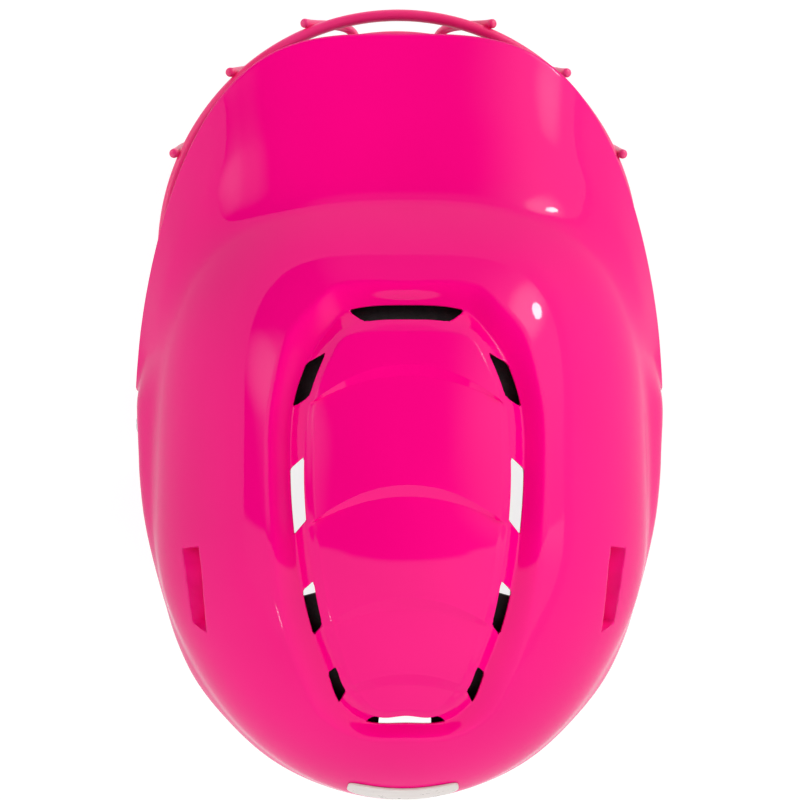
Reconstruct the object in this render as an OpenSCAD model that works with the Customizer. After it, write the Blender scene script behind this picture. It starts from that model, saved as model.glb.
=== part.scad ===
// Softball batting helmet with a wire face guard.
// Millimetres, +Z up, the face looks along -Y. Z = 0 is the level of the ear flap bottoms.

/* [Dome] */
// Half the width of the dome at its widest level
dome_half_w = 103; // [98:0.5:108]
// Distance from the crown to the dome's front, on the widest level
dome_front = 138; // [130:1:146]
// Distance from the crown to the dome's rear, on the widest level
dome_rear = 124.5; // [118:0.5:130]
// Height of the dome's widest level above the ear flap bottoms
dome_base_z = 97; // [90:1:104]
// Rise of the crown above the widest level
dome_rise = 115; // [108:1:122]
// Distance of the crown behind the middle of the helmet
crown_y = 41; // [36:1:46]
// Thickness of the moulded shell
wall = 3.3; // [2.6:0.1:4]

/* [Brim] */
// Half the width of the brim where it meets the ear flaps
brim_half_w = 111.5; // [108:0.5:116]
// Distance of the brim's front edge ahead of the brim's corners
brim_reach = 146.6; // [138:0.2:152]
// Distance of the brim's corners ahead of the middle of the helmet
brim_corner_y = 6.4; // [2:0.2:10]
// Height of the brim's front edge
brim_front_z = 123; // [119:1:127]
// Height of the brim's corners
brim_corner_z = 76; // [73:1:79]
// Squareness of the brim's outline at its front
brim_front_n = 3.05; // [2.8:0.05:3.3]
// Squareness of the brim's outline at its corners
brim_corner_n = 1.7; // [1.6:0.05:1.9]
// Width of the hollow between dome and brim, at the front
crease_front_w = 18; // [14:1:22]
// Width of the hollow between dome and ear flap, at the sides
crease_side_w = 6; // [4:0.5:9]

/* [Ear flaps] */
// Half the distance between the ear flap bottoms, outside
flap_half_w = 100.4; // [98:0.2:103]
// Half the width of the helmet over the ear flaps
flap_bulge_half_w = 108; // [106:0.2:110]
// Height of the flap's widest line
flap_bulge_z = 86; // [82:1:90]
// Middle of the ear flap bottom behind the middle of the helmet
flap_mid_y = 46; // [42:1:50]
// Inward slope of the ear flap under its widest line, as a share of its height
flap_tuck = 0.15; // [0.1:0.01:0.17]
// Height of the rear edge over the neck
nape_z = 41; // [36:1:48]
// Distance from the crown to the rear edge over the neck
nape_r = 110.3; // [106:0.5:114]
// Distance from the crown to the widest line at the rear
rear_bulge_r = 124.3; // [122:0.2:128]
// Diameter of the ear hole
ear_hole_d = 28; // [22:1:32]
// Height of the ear hole's centre
ear_hole_z = 62; // [56:1:68]
// Ear hole's centre behind the middle of the helmet
ear_hole_y = 46; // [42:1:50]

/* [Crown recess] */
// Depth of the recess at its groove, under the line of the dome
recess_depth = 7; // [5:0.5:8]
// Drop of the middle panel under the line of the dome
panel_drop = 1.5; // [1:0.25:2.5]
// Drop of the vents' inner edge under the line of the dome
vent_rise_drop = 3.2; // [2.8:0.2:4.6]
// Radius of the vents' corners
vent_corner_r = 1; // [0.6:0.1:1.4]
// Depth of the slots moulded into the rear flanks
flank_slot_depth = 2.6; // [2:0.1:2.8]

/* [Padding] */
// Thickness of the forehead pad
front_pad_t = 10; // [7:0.5:12]
// Thickness of the crown pad
crown_pad_t = 9; // [7:0.5:12]
// Thickness of the side pads
side_pad_t = 11; // [8:0.5:13]
// Thickness of the rear pads
rear_pad_t = 12; // [8:0.5:14]
// Thickness of the ear pads
ear_pad_t = 12; // [8:0.5:14]
// Thickness of the hook-and-loop layer between shell and pads
pad_gap = 0.8; // [0.7:0.05:0.95]
// Width of the gap between the two rear pads
rear_pad_gap = 18.6; // [12:0.2:24]
// Width of the sound opening in the ear pads beyond the ear hole
ear_pad_hole_margin = 3; // [2:0.5:5]

/* [Face guard] */
// Diameter of the coated steel bars
bar_d = 5; // [4.6:0.1:5.4]
// Diameter of the coated steel uprights
upright_d = 4; // [3.6:0.1:4.4]
// Depth to which a weld sinks one wire into the other
weld_sink = 0.4; // [0.3:0.05:0.6]
// Distance of the eye bar's centre line ahead of the middle of the helmet
eye_bar_reach = 164.9; // [160:0.1:168]
// Half the width of the eye bar's curve, on its centre line
eye_bar_half_w = 99.9; // [97:0.1:101]
// Height of the eye bar
eye_bar_z = 60; // [57:0.5:62]
// Distance of the mouth bar's centre line ahead of the middle of the helmet
mouth_bar_reach = 158; // [154:0.5:160]
// Half the width of the mouth bar's curve, on its centre line
mouth_bar_half_w = 98; // [95:0.5:100]
// Height of the mouth bar
mouth_bar_z = 30; // [28:0.5:33]
// Distance of the chin bar's centre line ahead of the middle of the helmet
chin_bar_reach = 140; // [136:0.5:144]
// Half the width of the chin bar's curve, on its centre line
chin_bar_half_w = 92; // [90:0.5:95]
// Distance of the brow bar's centre line ahead of the middle of the helmet
brow_bar_reach = 137; // [132:0.5:141]
// Height of the brow bar at its front
brow_bar_z = 105; // [102:0.5:108]
// Angle from the front at which the nose uprights cross the eye bar
nose_angle = 22; // [18:1:26]
// Angle from the front at which the cheek uprights cross the eye bar
cheek_angle = 43; // [39:1:47]
// Angle from the front at which the temple uprights cross the eye bar
temple_angle = 66; // [62:1:70]
// Rise of the uprights' cut ends above the eye bar
upright_tip = 3; // [2:0.5:5]

/* [Clips and fasteners] */
// Gap between a clip and the bar above it
clip_bar_gap = 2; // [1.5:0.1:2.5]
// Upper guard screws behind the middle of the helmet
upper_clip_y = 9; // [8:0.5:10]
// Height of the clip and stud seats over a straight flank, from flap bottom to widest line
seat_over = 0.8; // [0.6:0.1:1.2]
// Rearward lean of the guard's side bars towards the flap bottoms, in degrees
side_bar_lean = 15; // [13:0.5:17]
// Distance from a guard screw to the side bar's centre line
clip_reach = 17.5; // [16.5:0.1:19]
// Thickness of the clip's tab
clip_t = 3; // [2.4:0.1:3.4]
// Width of the clip along the bar
clip_w = 12; // [10:0.5:14]
// Diameter of the guard screws' shanks
screw_d = 4; // [3.6:0.1:4.4]
// Diameter of the guard screws' heads
screw_head_d = 10; // [9:0.2:11]
// Height of the guard screws' heads
screw_head_h = 2.4; // [2:0.1:2.6]
// Radial running clearance of a screw in its nut
screw_running = 0.05; // [0.02:0.01:0.09]
// Diameter of the T-nut's flange
nut_flange_d = 15; // [13:0.5:17]
// Thickness of the T-nut's flange
nut_flange_t = 1.2; // [1:0.1:1.6]
// Thickness of the shell at the guard clips' seats
seat_wall = 5.4; // [5.2:0.1:5.9]
// Thickness of the shell at the strap studs' seats
stud_wall = 5.4; // [5:0.1:5.9]
// Diameter of the strap studs' heads
stud_d = 7.2; // [6.6:0.2:8]
// Height of the strap studs' heads over their base
stud_h = 3; // [2.6:0.1:3.6]
// Level of the strap studs, from 7 at the flap's widest line to 8 at its bottom
stud_level = 7.83; // [7.8:0.01:7.87]
// Place of the front strap studs around the helmet, in degrees from the front
front_stud_place = 86.5; // [85:0.5:90]
// Place of the rear strap studs around the helmet, in degrees from the front
rear_stud_place = 103.5; // [100:0.5:105]

/* [Rear badge] */
// Width of the plain badge at the rear
badge_w = 46; // [36:1:52]
// Height of the plain badge
badge_h = 16; // [12:1:18]
// Thickness of the plain badge
badge_t = 1; // [0.6:0.1:1.4]
// Height of the badge's middle
badge_z = 131; // [126:1:136]

/* [Hidden] */

PINK = "#ff0084";
CAGE_PINK = "#f0287a";
FOAM = "#1c1c1e";
CLIP = "#e6006f";
STEEL = "#b9bcc0";
BADGE = "#f3efe9";

columns = 70;
round_fn = 24;
true_fn = 64;
wire_sides = 8;
seat_r = 9;
stud_seat_r = 6.5;

// Lean of the seats, that of the ear flap's flank, in degrees
seat_tilt = atan((flap_bulge_half_w - flap_half_w) / flap_bulge_z);

// Heights along a side bar: each clip's hook sits just under the bar above it
upper_hook_z = eye_bar_z - (bar_d + clip_w) / 2 - clip_bar_gap;
lower_hook_z = mouth_bar_z - (bar_d + clip_w) / 2 - clip_bar_gap;
chin_end_z = lower_hook_z - (bar_d + clip_w) / 2 - clip_bar_gap;
side_bar_over = 1.5;
hook_to_screw_z = clip_reach * sin(side_bar_lean) * cos(seat_tilt);
upper_clip_z = upper_hook_z + hook_to_screw_z;
lower_clip_z = lower_hook_z + hook_to_screw_z;

// Small helpers
function ease(t) = let (c = min(1, max(0, t))) c * c * (3 - 2 * c);
function mix(a, b, t) = a * (1 - t) + b * t;
function unit(v) = v / norm(v);
function plan(p) = [p[0], p[1]];

// A smooth curve through knots [place, value, value, ...]. The knots cover 0 to 180 degrees of
// one side; side = -1 where the first value changes sign across the middle, as x does.
function turned(k, about, side) =
    [for (i = [0:len(k) - 1]) i == 0 ? 2 * about - k[0] : i == 1 ? side * k[1] : k[i]];
function with_ends(k, side) =
    concat([turned(k[1], k[0][0], side)], k, [turned(k[len(k) - 2], k[len(k) - 1][0], side)]);
function span_of(k, a, i = 1) = (i >= len(k) - 3 || a <= k[i + 1][0]) ? i : span_of(k, a, i + 1);
function slope_at(k, i) = (k[i + 1] - k[i - 1]) / (k[i + 1][0] - k[i - 1][0]);
function hermite(p, q, tp, tq, t) =
    p * (2 * t * t * t - 3 * t * t + 1) + q * (3 * t * t - 2 * t * t * t)
    + tp * (t * t * t - 2 * t * t + t) + tq * (t * t * t - t * t);
function along(k, a) =
    let (i = span_of(k, a), h = k[i + 1][0] - k[i][0])
    hermite(k[i], k[i + 1], slope_at(k, i) * h, slope_at(k, i + 1) * h, (a - k[i][0]) / h);

// The crown recess. Its loops have a knot at each end of a vent, from the front to the rear.
// Each knot is [azimuth about the crown, x, y] on a dome of the first size.
knot_dome = [103, 138, 124.5];
kx = dome_half_w / knot_dome[0];
kf = dome_front / knot_dome[1];
kr = dome_rear / knot_dome[2];
stations = [0, 16.7, 34.9, 49.1, 72, 103.7, 129, 144.2, 154.9, 161.4, 169.5, 180];
lip_xy = [[0, -89.2], [27, -88.4], [47.5, -68], [54.2, -40.5], [55, -15], [53.6, 13], [51, 36],
    [46.6, 55], [40.5, 72], [34.5, 84], [20, 93.2], [0, 94.5]];
groove_xy = [[0, -80.1], [23.4, -77.9], [39.8, -57], [45.3, -39.3], [46.3, -15], [44.7, 10.9],
    [41.4, 33.5], [37, 51.2], [31.2, 66.7], [26.6, 78.8], [16.1, 86.6], [0, 87.4]];
inner_xy = [[0, -74.3], [17, -73.3], [32, -61.4], [38.6, -43.9], [40.9, -19.9], [40.2, 5.3],
    [37.2, 29.4], [33.6, 47.1], [28.2, 63.8], [24.1, 73.9], [12.8, 84.2], [0, 84.2]];
panel_xy = [[0, -69.9], [17, -69.3], [28.8, -60.5], [36.2, -44.5], [37.4, -21], [36.6, 5],
    [33.9, 28], [30.2, 45], [24.7, 62], [20.9, 71.5], [12.2, 81.3], [0, 81.8]];
function placed(xy) = [for (i = [0:len(stations) - 1])
    [stations[i], xy[i][0] * kx, crown_y + xy[i][1] * (xy[i][1] < 0 ? kf : kr)]];
lip_knots = with_ends(placed(lip_xy), -1);
groove_knots = with_ends(placed(groove_xy), -1);
inner_knots = with_ends(placed(inner_xy), -1);
panel_knots = with_ends(placed(panel_xy), -1);
function loop_xy(knots, a) = let (p = along(knots, a)) [p[1], p[2]];

// The dome: an ellipse in height over a plan that is square at the front and round at the rear
square_n = 3.1;
round_n = 2;
function dome_n(a) = mix(square_n, round_n, ease((a - 50) / 80));
function dome_r(a) = let (n = dome_n(a))
    pow(pow(sin(a) / dome_half_w, n) + pow(abs(cos(a)) / (a < 90 ? dome_front : dome_rear), n), -1 / n);
function azimuth(p) = atan2(abs(p[0]), crown_y - p[1]);
function dome_share(p) = norm([p[0], p[1] - crown_y]) / dome_r(azimuth(p));
function dome_z(p) = dome_base_z + dome_rise * sqrt(max(0.0001, 1 - pow(dome_share(p), 2)));
function dome_point(a, tilt) = let (r = dome_r(a) * sin(tilt))
    [r * sin(a), crown_y - r * cos(a), dome_base_z + dome_rise * cos(tilt)];

// The crease under the dome, as a share of the dome's radius
crease_knots = with_ends([[0, 0.9], [20, 0.9], [31, 0.925], [43, 0.958], [50, 0.965],
    [65, 0.983], [90, 0.99], [180, 0.99]], 1);
function crease_tilt(a) = asin(along(crease_knots, a)[1]);
fillet_tilt = 3;

// The lower edge: the brim by formula, the ear flap and the nape by knots [place, x, y, z]
wing = 62;
function brim_edge(a) =
    let (t = a / wing * 90, e = 2 / mix(brim_front_n, brim_corner_n, a / wing))
    [brim_half_w * pow(sin(t), e), -brim_corner_y - brim_reach * pow(max(0, cos(t)), e),
        mix(brim_corner_z, brim_front_z, pow(max(0, cos(t)), e))];
edge_ghost = 58;
flap_cut = 0.6;
edge_knots = [
    concat([edge_ghost], brim_edge(edge_ghost)),
    concat([wing], brim_edge(wing)),
    [65, mix(flap_half_w, brim_half_w, 0.8), 1.9 - brim_corner_y, mix(0, brim_corner_z, 0.87)],
    [69, mix(flap_half_w, brim_half_w, 0.53), flap_mid_y - 45, mix(0, brim_corner_z, 0.59)],
    [73, mix(flap_half_w, brim_half_w, 0.33), flap_mid_y - 39, mix(0, brim_corner_z, 0.32)],
    [78, mix(flap_half_w, brim_half_w, 0.14), flap_mid_y - 31.5, mix(0, brim_corner_z, 0.1)],
    [84, flap_half_w + 0.4, flap_mid_y - 21, -flap_cut],
    [91, flap_half_w, flap_mid_y - 7, -flap_cut],
    [100, flap_half_w - 0.4, flap_mid_y + 11, -flap_cut],
    [107, flap_half_w - 0.8, flap_mid_y + 25, 0.5],
    [113, flap_half_w - 1, flap_mid_y + 36, 0.2 * nape_z],
    [119, flap_half_w - 2.9, flap_mid_y + 46, 0.52 * nape_z],
    [126, nape_r * 0.822, crown_y + nape_r * 0.548, 0.83 * nape_z],
    [136, nape_r * 0.72, crown_y + nape_r * 0.712, nape_z],
    [150, nape_r * 0.507, crown_y + nape_r * 0.874, nape_z + 3],
    [165, nape_r * 0.263, crown_y + nape_r * 0.968, nape_z + 1],
    [180, 0, crown_y + nape_r, nape_z],
    [195, -nape_r * 0.263, crown_y + nape_r * 0.968, nape_z + 1]];
function edge_point(a) = a <= wing ? brim_edge(a) : let (p = along(edge_knots, a)) [p[1], p[2], p[3]];

// The widest line of ear flaps and rear, as knots [place, azimuth, radius, height]
bulge_k = flap_bulge_half_w;
bulge_knots = [
    [58, 62, bulge_k * 1.123, 87], [62, 66, bulge_k * 1.108, 85.5],
    [66, 69, bulge_k * 1.094, flap_bulge_z - 1], [70, 72.5, bulge_k * 1.07, flap_bulge_z],
    [75, 76.5, bulge_k * 1.045, flap_bulge_z], [80, 81, bulge_k * 1.025, flap_bulge_z],
    [90, 90, bulge_k, flap_bulge_z], [103, 103, bulge_k * 0.982, flap_bulge_z],
    [113, 113, bulge_k * 0.99, flap_bulge_z], [122, 122, bulge_k * 1.021, flap_bulge_z],
    [131, 131, mix(bulge_k, rear_bulge_r, 0.36), flap_bulge_z],
    [142, 142, mix(bulge_k, rear_bulge_r, 0.55), flap_bulge_z],
    [154, 154, mix(bulge_k, rear_bulge_r, 0.79), flap_bulge_z],
    [167, 167, mix(bulge_k, rear_bulge_r, 0.93), flap_bulge_z],
    [180, 180, rear_bulge_r, flap_bulge_z], [193, 193, mix(bulge_k, rear_bulge_r, 0.93), flap_bulge_z]];
function bulge_side(a) = let (p = along(bulge_knots, a))
    [p[2] * sin(p[1]), crown_y - p[2] * cos(p[1]), p[3]];
brim_crown = 1.6;
function brim_middle(a) = mix(dome_point(a, crease_tilt(a)), edge_point(a), 0.56) + [0, 0, brim_crown];
function bulge_point(a) = let (w = ease((a - 50) / 12))
    w <= 0 ? brim_middle(a) : w >= 1 ? bulge_side(a) : mix(brim_middle(a), bulge_side(a), w);
function crease_w(a) = mix(crease_front_w, crease_side_w, ease((a - 15) / 55));

// One side's surface at place a (0 front to 180 rear) and level v: 0 crown, 1 panel edge,
// 2 vents' inner edge, 3 groove, 4 lip, 5 end of the dome, 6 start of the brim, 7 widest line, 8 edge
function on_dome(xy, drop) = [xy[0], xy[1], dome_z(xy) - drop];
function crown_area(a, t) = on_dome(mix([0, crown_y], loop_xy(panel_knots, a), t), panel_drop);
function vent_band(a, t) = on_dome(mix(loop_xy(panel_knots, a), loop_xy(inner_knots, a), t),
    mix(panel_drop, vent_rise_drop, t));
function groove_band(a, t) = on_dome(mix(loop_xy(inner_knots, a), loop_xy(groove_knots, a), t),
    mix(vent_rise_drop, recess_depth, t));
function lip_band(a, t) = on_dome(mix(loop_xy(groove_knots, a), loop_xy(lip_knots, a), t),
    recess_depth * (1 - ease(t)));
function dome_band(a, t) =
    let (lip = loop_xy(lip_knots, a), start = asin(dome_share(lip)))
    dome_point(mix(azimuth(lip), a, t), mix(start, crease_tilt(a) - fillet_tilt, t));
function brim_start(a) = let (d = dome_point(a, crease_tilt(a))) d + unit(bulge_point(a) - d) * crease_w(a);
function fillet_band(a, t) =
    let (tilt = crease_tilt(a) - fillet_tilt, p = dome_point(a, tilt), q = brim_start(a),
        l = norm(q - p), into = unit(dome_point(a, tilt + 1) - p))
    hermite(p, q, into * l, unit(bulge_point(a) - q) * l, t);
function tuck(a) = flap_tuck * ease((a - 54) / 12) * (1 - ease((a - 116) / 16));
function inward(a) = [-sin(a), cos(a), 0];
function skirt_band(a, t) =
    let (q = brim_start(a), b = bulge_point(a), e = edge_point(a), l = norm(b - q))
    hermite(q, b, unit(b - q) * l, unit(e - q) * l + inward(a) * tuck(a) * l, t);
function edge_band(a, t) =
    let (q = brim_start(a), b = bulge_point(a), e = edge_point(a), l = norm(e - b))
    hermite(b, e, unit(e - q) * l + inward(a) * tuck(a) * l,
        (e - b) * 0.9 - inward(a) * tuck(a) * l * 0.85, t);
function half_surface(a, v) =
    v <= 1 ? crown_area(a, v) : v <= 2 ? vent_band(a, v - 1) : v <= 3 ? groove_band(a, v - 2)
    : v <= 4 ? lip_band(a, v - 3) : v <= 5 ? dome_band(a, v - 4) : v <= 6 ? fillet_band(a, v - 5)
    : v <= 7 ? skirt_band(a, v - 6) : edge_band(a, min(1, v - 7));

// The whole outer surface: a runs from -180 to 180, negative on the left
function outer(a, v) =
    let (w = a > 180 ? a - 360 : a < -180 ? a + 360 : a, p = half_surface(abs(w), v))
    [w < 0 ? -p[0] : p[0], p[1], p[2]];
function outward(a, v) =
    let (e = 0.5, ev = 0.02, va = max(0.05, v - ev), vb = min(8, v + ev))
    unit(cross(outer(a, vb) - outer(a, va),
        outer(a + e, max(v, 0.05)) - outer(a - e, max(v, 0.05))));
function skin(a, v, depth) = v <= 0 ? [0, crown_y, dome_base_z + dome_rise - panel_drop - depth]
    : outer(a, v) - outward(a, v) * depth;

// Faces of grids. A ring grid starts at a pole; a sheet grid has rows of n points.
function ring_quads(rows, n) = [for (r = [0:rows - 2], i = [0:n - 1])
    let (j = (i + 1) % n) [1 + r * n + i, 1 + r * n + j, 1 + (r + 1) * n + j, 1 + (r + 1) * n + i]];
function pole_faces(n) = [for (i = [0:n - 1]) [0, 1 + (i + 1) % n, 1 + i]];
function rim_quads(last, n, shift) = [for (i = [0:n - 1]) let (j = (i + 1) % n)
    [last + i, last + j, last + j + shift, last + i + shift]];
function split(quads) = [for (q = quads) each [[q[0], q[1], q[2]], [q[0], q[2], q[3]]]];
function back(faces, shift) = [for (f = faces) [f[2] + shift, f[1] + shift, f[0] + shift]];

// A closed solid between two round grids, each a pole and rows of n points
module domed_solid(top, under, rows, n) {
    sheet = concat(pole_faces(n), split(ring_quads(rows, n)));
    rim = split(rim_quads(1 + (rows - 1) * n, n, len(top)));
    polyhedron(concat(top, under), concat(sheet, back(sheet, len(top)), rim));
}

// A closed solid between two sheets, each of rows of n points
module sheet_solid(top, under, rows, n) {
    m = len(top);
    sheet = split([for (r = [0:rows - 2], i = [0:n - 2])
        [r * n + i, r * n + i + 1, (r + 1) * n + i + 1, (r + 1) * n + i]]);
    edge = concat([for (i = [0:n - 2]) [i + 1, i, i + m, i + 1 + m]],
        [for (i = [0:n - 2]) let (k = (rows - 1) * n) [k + i, k + i + 1, k + i + 1 + m, k + i + m]],
        [for (r = [0:rows - 2]) [r * n, (r + 1) * n, (r + 1) * n + m, r * n + m]],
        [for (r = [0:rows - 2]) let (k = r * n + n - 1) [k + n, k, k + m, k + n + m]]);
    polyhedron(concat(top, under), concat(sheet, back(sheet, m), split(edge)));
}

module one_side(side) { mirror([side < 0 ? 1 : 0, 0, 0]) children(); }

// Seats of the guard clips and strap studs, on a plane that follows the ear flap
function seat_x(z) = flap_half_w + seat_over + z * tan(seat_tilt);
function clip_y(z) = upper_clip_y + (upper_clip_z - z) * tan(side_bar_lean);
stud_proud = 0.7;
module at_seat(y, z) {
    translate([seat_x(z), y, z]) rotate([0, seat_tilt, 0]) rotate([side_bar_lean, 0, 0]) children();
}
module at_clips(side) {
    for (z = [upper_clip_z, lower_clip_z]) one_side(side) at_seat(clip_y(z), z) children();
}
module at_studs(side) {
    for (a = [front_stud_place, rear_stud_place])
        let (p = outer(a, stud_level), n = outward(a, stud_level))
        one_side(side) translate(p + n * stud_proud) rotate([0, -asin(n[2]), atan2(n[1], n[0])]) children();
}
module x_cylinder(r, x0, x1, fn = true_fn) {
    translate([x0, 0, 0]) rotate([0, 90, 0]) cylinder(r = r, h = x1 - x0, $fn = fn);
}

// Shell
module shell_body() {
    levels = [0.25, 0.5, 0.75, 1, 1.5, 2, 3, 3.33, 3.67, 4, 4.2, 4.4, 4.6, 4.8, 5, 5.33, 5.67, 6,
        6.33, 6.67, 7, 7.25, 7.5, 7.75, 8];
    n = columns;
    function place(i) = 360 * i / n - 180;
    top = concat([skin(0, 0, 0)], [for (v = levels, i = [0:n - 1]) outer(place(i), v)]);
    under = concat([skin(0, 0, wall)], [for (v = levels, i = [0:n - 1]) skin(place(i), v, wall)]);
    domed_solid(top, under, len(levels), n);
}
vent_over = 8;
module vent(corners) {
    middle = [for (k = [0, 1]) let (t = [for (c = corners) c[k]]) (min(t) + max(t)) / 2];
    low = min([for (c = corners) dome_z(c)]) - recess_depth - wall - vent_over;
    hull() for (c = corners)
        translate(concat(plan(c + unit(middle - c) * vent_corner_r * 1.3), low))
            cylinder(r = vent_corner_r, h = dome_z(c) + vent_over - low, $fn = 8);
}
function at_station(knots, i) = loop_xy(knots, stations[i]);
function flipped(p) = [-p[0], p[1]];
module side_vent(i, j) {
    for (side = [1, -1]) one_side(side)
        vent([at_station(inner_knots, i), at_station(groove_knots, i),
            at_station(groove_knots, j), at_station(inner_knots, j)]);
}
module end_vent(i, end) {
    g = at_station(groove_knots, i);
    k = at_station(inner_knots, i);
    vent([k, g, at_station(groove_knots, end), flipped(g), flipped(k)]);
}
flank_slot_tilts = [[102, 54.5], [112, 57.8], [123, 61.5]];
flank_slot_ends = [[102, 61.5], [112, 64.4], [123, 66.5]];
flank_slot_r = 0.8;
module flank_slot_cut() {
    step = 5.25;
    for (s = [0:3]) hull() for (k = [s, s + 1] * step, table = [flank_slot_tilts, flank_slot_ends])
        let (a = flank_slot_ends[0][0] + k, p = dome_point(a, lookup(a, table)),
            n = unit(p - [0, crown_y, dome_base_z]))
        for (d = [flank_slot_r - flank_slot_depth, 3])
            translate(p + n * d) sphere(r = flank_slot_r, $fn = 6);
}
module seat_boss(r, t) { hull() x_cylinder(r, -t, 0, round_fn); }
module shell_hole(r) { hull() x_cylinder(r, -seat_wall - 6, 6, round_fn); }
seat_margin = 0.8;
module clip_room() {
    r = clip_w / 2 + seat_margin;
    hull() for (y = [0, -clip_reach]) translate([0, y, 0]) x_cylinder(r, 0, 20, round_fn);
}
// A spot face inside, just off the seat's own inner face, so that the T-nut's flange lies flat
// wherever the flap's inner face runs
spot_depth = 12;
spot_gap = 0.005;
module nut_room() {
    hull() x_cylinder(nut_flange_d / 2 + nut_gap, -seat_wall - spot_depth, -seat_wall - spot_gap, round_fn);
}
module ear_hole(r) {
    translate([dome_half_w - 30, ear_hole_y, ear_hole_z]) hull() x_cylinder(r, 0, 50, 40);
}
module shell() {
    color(PINK) difference() {
        union() {
            shell_body();
            for (side = [1, -1]) {
                at_clips(side) seat_boss(seat_r, seat_wall);
                at_studs(side) seat_boss(stud_seat_r, stud_wall);
            }
        }
        end_vent(1, 0);
        end_vent(10, 11);
        for (i = [2, 4, 6, 8]) side_vent(i, i + 1);
        for (side = [1, -1]) {
            one_side(side) { flank_slot_cut(); ear_hole(ear_hole_d / 2); }
            at_clips(side) { clip_room(); nut_room(); shell_hole(nut_barrel_r + nut_gap); }
            at_studs(side) shell_hole(stud_shank_r + nut_gap);
        }
        translate([-200, -200, -20]) cube([400, 400, 20]);
    }
}

// Pads. Both faces of a pad follow the plain line of the dome, clear of the recess's groove.
function smooth_point(a, v) = let (p = outer(a, v)) v < 4 ? on_dome(plan(p), 0) : p;
function smooth_normal(a, v) =
    let (e = 0.6, ev = 0.06)
    unit(cross(smooth_point(a, min(8, v + ev)) - smooth_point(a, v - ev),
        smooth_point(a + e, v) - smooth_point(a - e, v)));
function pillow(s) = 1 - pow(abs(2 * s - 1), 5);
edge_share = 0.4;
function back_depth(v) = wall + pad_gap + (v < 4.7 ? recess_depth * (1 - ease((v - 4.1) / 0.6)) : 0);
// A pad lies over places a0 to a1, from level top_v to level end_v, both lists of [place, level]
module pad(a0, a1, top_v, end_v, t, across, down) {
    spots = [for (j = [0:down], i = [0:across]) let (a = mix(a0, a1, i / across))
        [a, mix(lookup(a, top_v), lookup(a, end_v), j / down),
            mix(edge_share, 1, pillow(i / across) * pillow(j / down))]];
    function under(p, d) = smooth_point(p[0], p[1]) - smooth_normal(p[0], p[1]) * (back_depth(p[1]) + d);
    back_face = [for (p = spots) under(p, 0)];
    head_face = [for (p = spots) under(p, t * p[2])];
    color(FOAM) sheet_solid(back_face, head_face, down + 1, across + 1);
}
module front_pad() {
    top_v = [[-60, 3.7], [-49, 3.1], [-33, 2], [-18, 1.4], [18, 1.4], [33, 2], [49, 3.1], [60, 3.7]];
    pad(-60, 60, top_v, [[-60, 4.9], [0, 4.95], [60, 4.9]], front_pad_t, 22, 7);
}
module crown_pad() {
    n = 32;
    shares = [0.3, 0.55, 0.75, 0.86];
    d = wall + pad_gap;
    function place(i) = 360 * i / n - 180;
    function thick(v) = crown_pad_t * mix(1, edge_share, pow(v / 0.86, 5));
    top = concat([skin(0, 0, d)], [for (v = shares, i = [0:n - 1]) skin(place(i), v, d)]);
    under = concat([skin(0, 0, d + thick(0))],
        [for (v = shares, i = [0:n - 1]) skin(place(i), v, d + thick(v))]);
    color(FOAM) domed_solid(top, under, len(shares), n);
}
module side_pad() { pad(65, 127, [[65, 4.2], [127, 4.2]], [[65, 6.4], [127, 6.8]], side_pad_t, 12, 7); }
module side_pad_left() { side_pad(); }
module side_pad_right() { mirror([1, 0, 0]) side_pad(); }
rear_pad_end = 180 - asin(rear_pad_gap / 2 / 84);
module rear_pad() {
    top_v = [[133, 2.4], [142, 1.4], [180, 1.4]];
    pad(133, rear_pad_end, top_v, [[133, 7.2], [180, 7.2]], rear_pad_t, 10, 14);
}
module rear_pad_left() { rear_pad(); }
module rear_pad_right() { mirror([1, 0, 0]) rear_pad(); }
module ear_pad() {
    difference() {
        pad(83, 113, [[83, 7.02], [113, 7.02]], [[83, 7.55], [95, 7.66], [113, 7.6]], ear_pad_t, 11, 7);
        color(FOAM) ear_hole(ear_hole_d / 2 + ear_pad_hole_margin);
    }
}
module ear_pad_left() { ear_pad(); }
module ear_pad_right() { mirror([1, 0, 0]) ear_pad(); }

// Plain badge at the rear, an oblong with round corners that follows the dome
module rear_badge() {
    n = 32;
    shares = [0.5, 0.8, 0.95, 1];
    stand = 0.25;
    tilt0 = acos((badge_z - dome_base_z) / dome_rise);
    r0 = dome_rear * sin(tilt0);
    span = [badge_w / 2 / r0 * 180 / PI, badge_h / 2 / (dome_r(180) * 0.98) * 180 / PI];
    function corner(i) =
        let (c = cos(360 * i / n), s = -sin(360 * i / n), m = pow(pow(abs(c), 5) + pow(abs(s), 5), -1 / 5))
        [c * m, s * m];
    function thick(q) = badge_t * mix(1, 0.5, pow(q, 8));
    function on(k, q, h) =
        let (a = 180 + corner(k)[0] * q * span[0], t = tilt0 + corner(k)[1] * q * span[1],
            p = [for (w = [a > 180 ? 360 - a : a]) each dome_point(w, t)],
            o = [a > 180 ? -p[0] : p[0], p[1], p[2]], m = unit(o - [0, crown_y, dome_base_z]))
        o + m * h;
    top = concat([on(0, 0, stand + thick(0))], [for (q = shares, k = [0:n - 1]) on(k, q, stand + thick(q))]);
    under = concat([on(0, 0, stand)], [for (q = shares, k = [0:n - 1]) on(k, q, stand)]);
    color(BADGE) domed_solid(top, under, len(shares), n);
}

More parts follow.
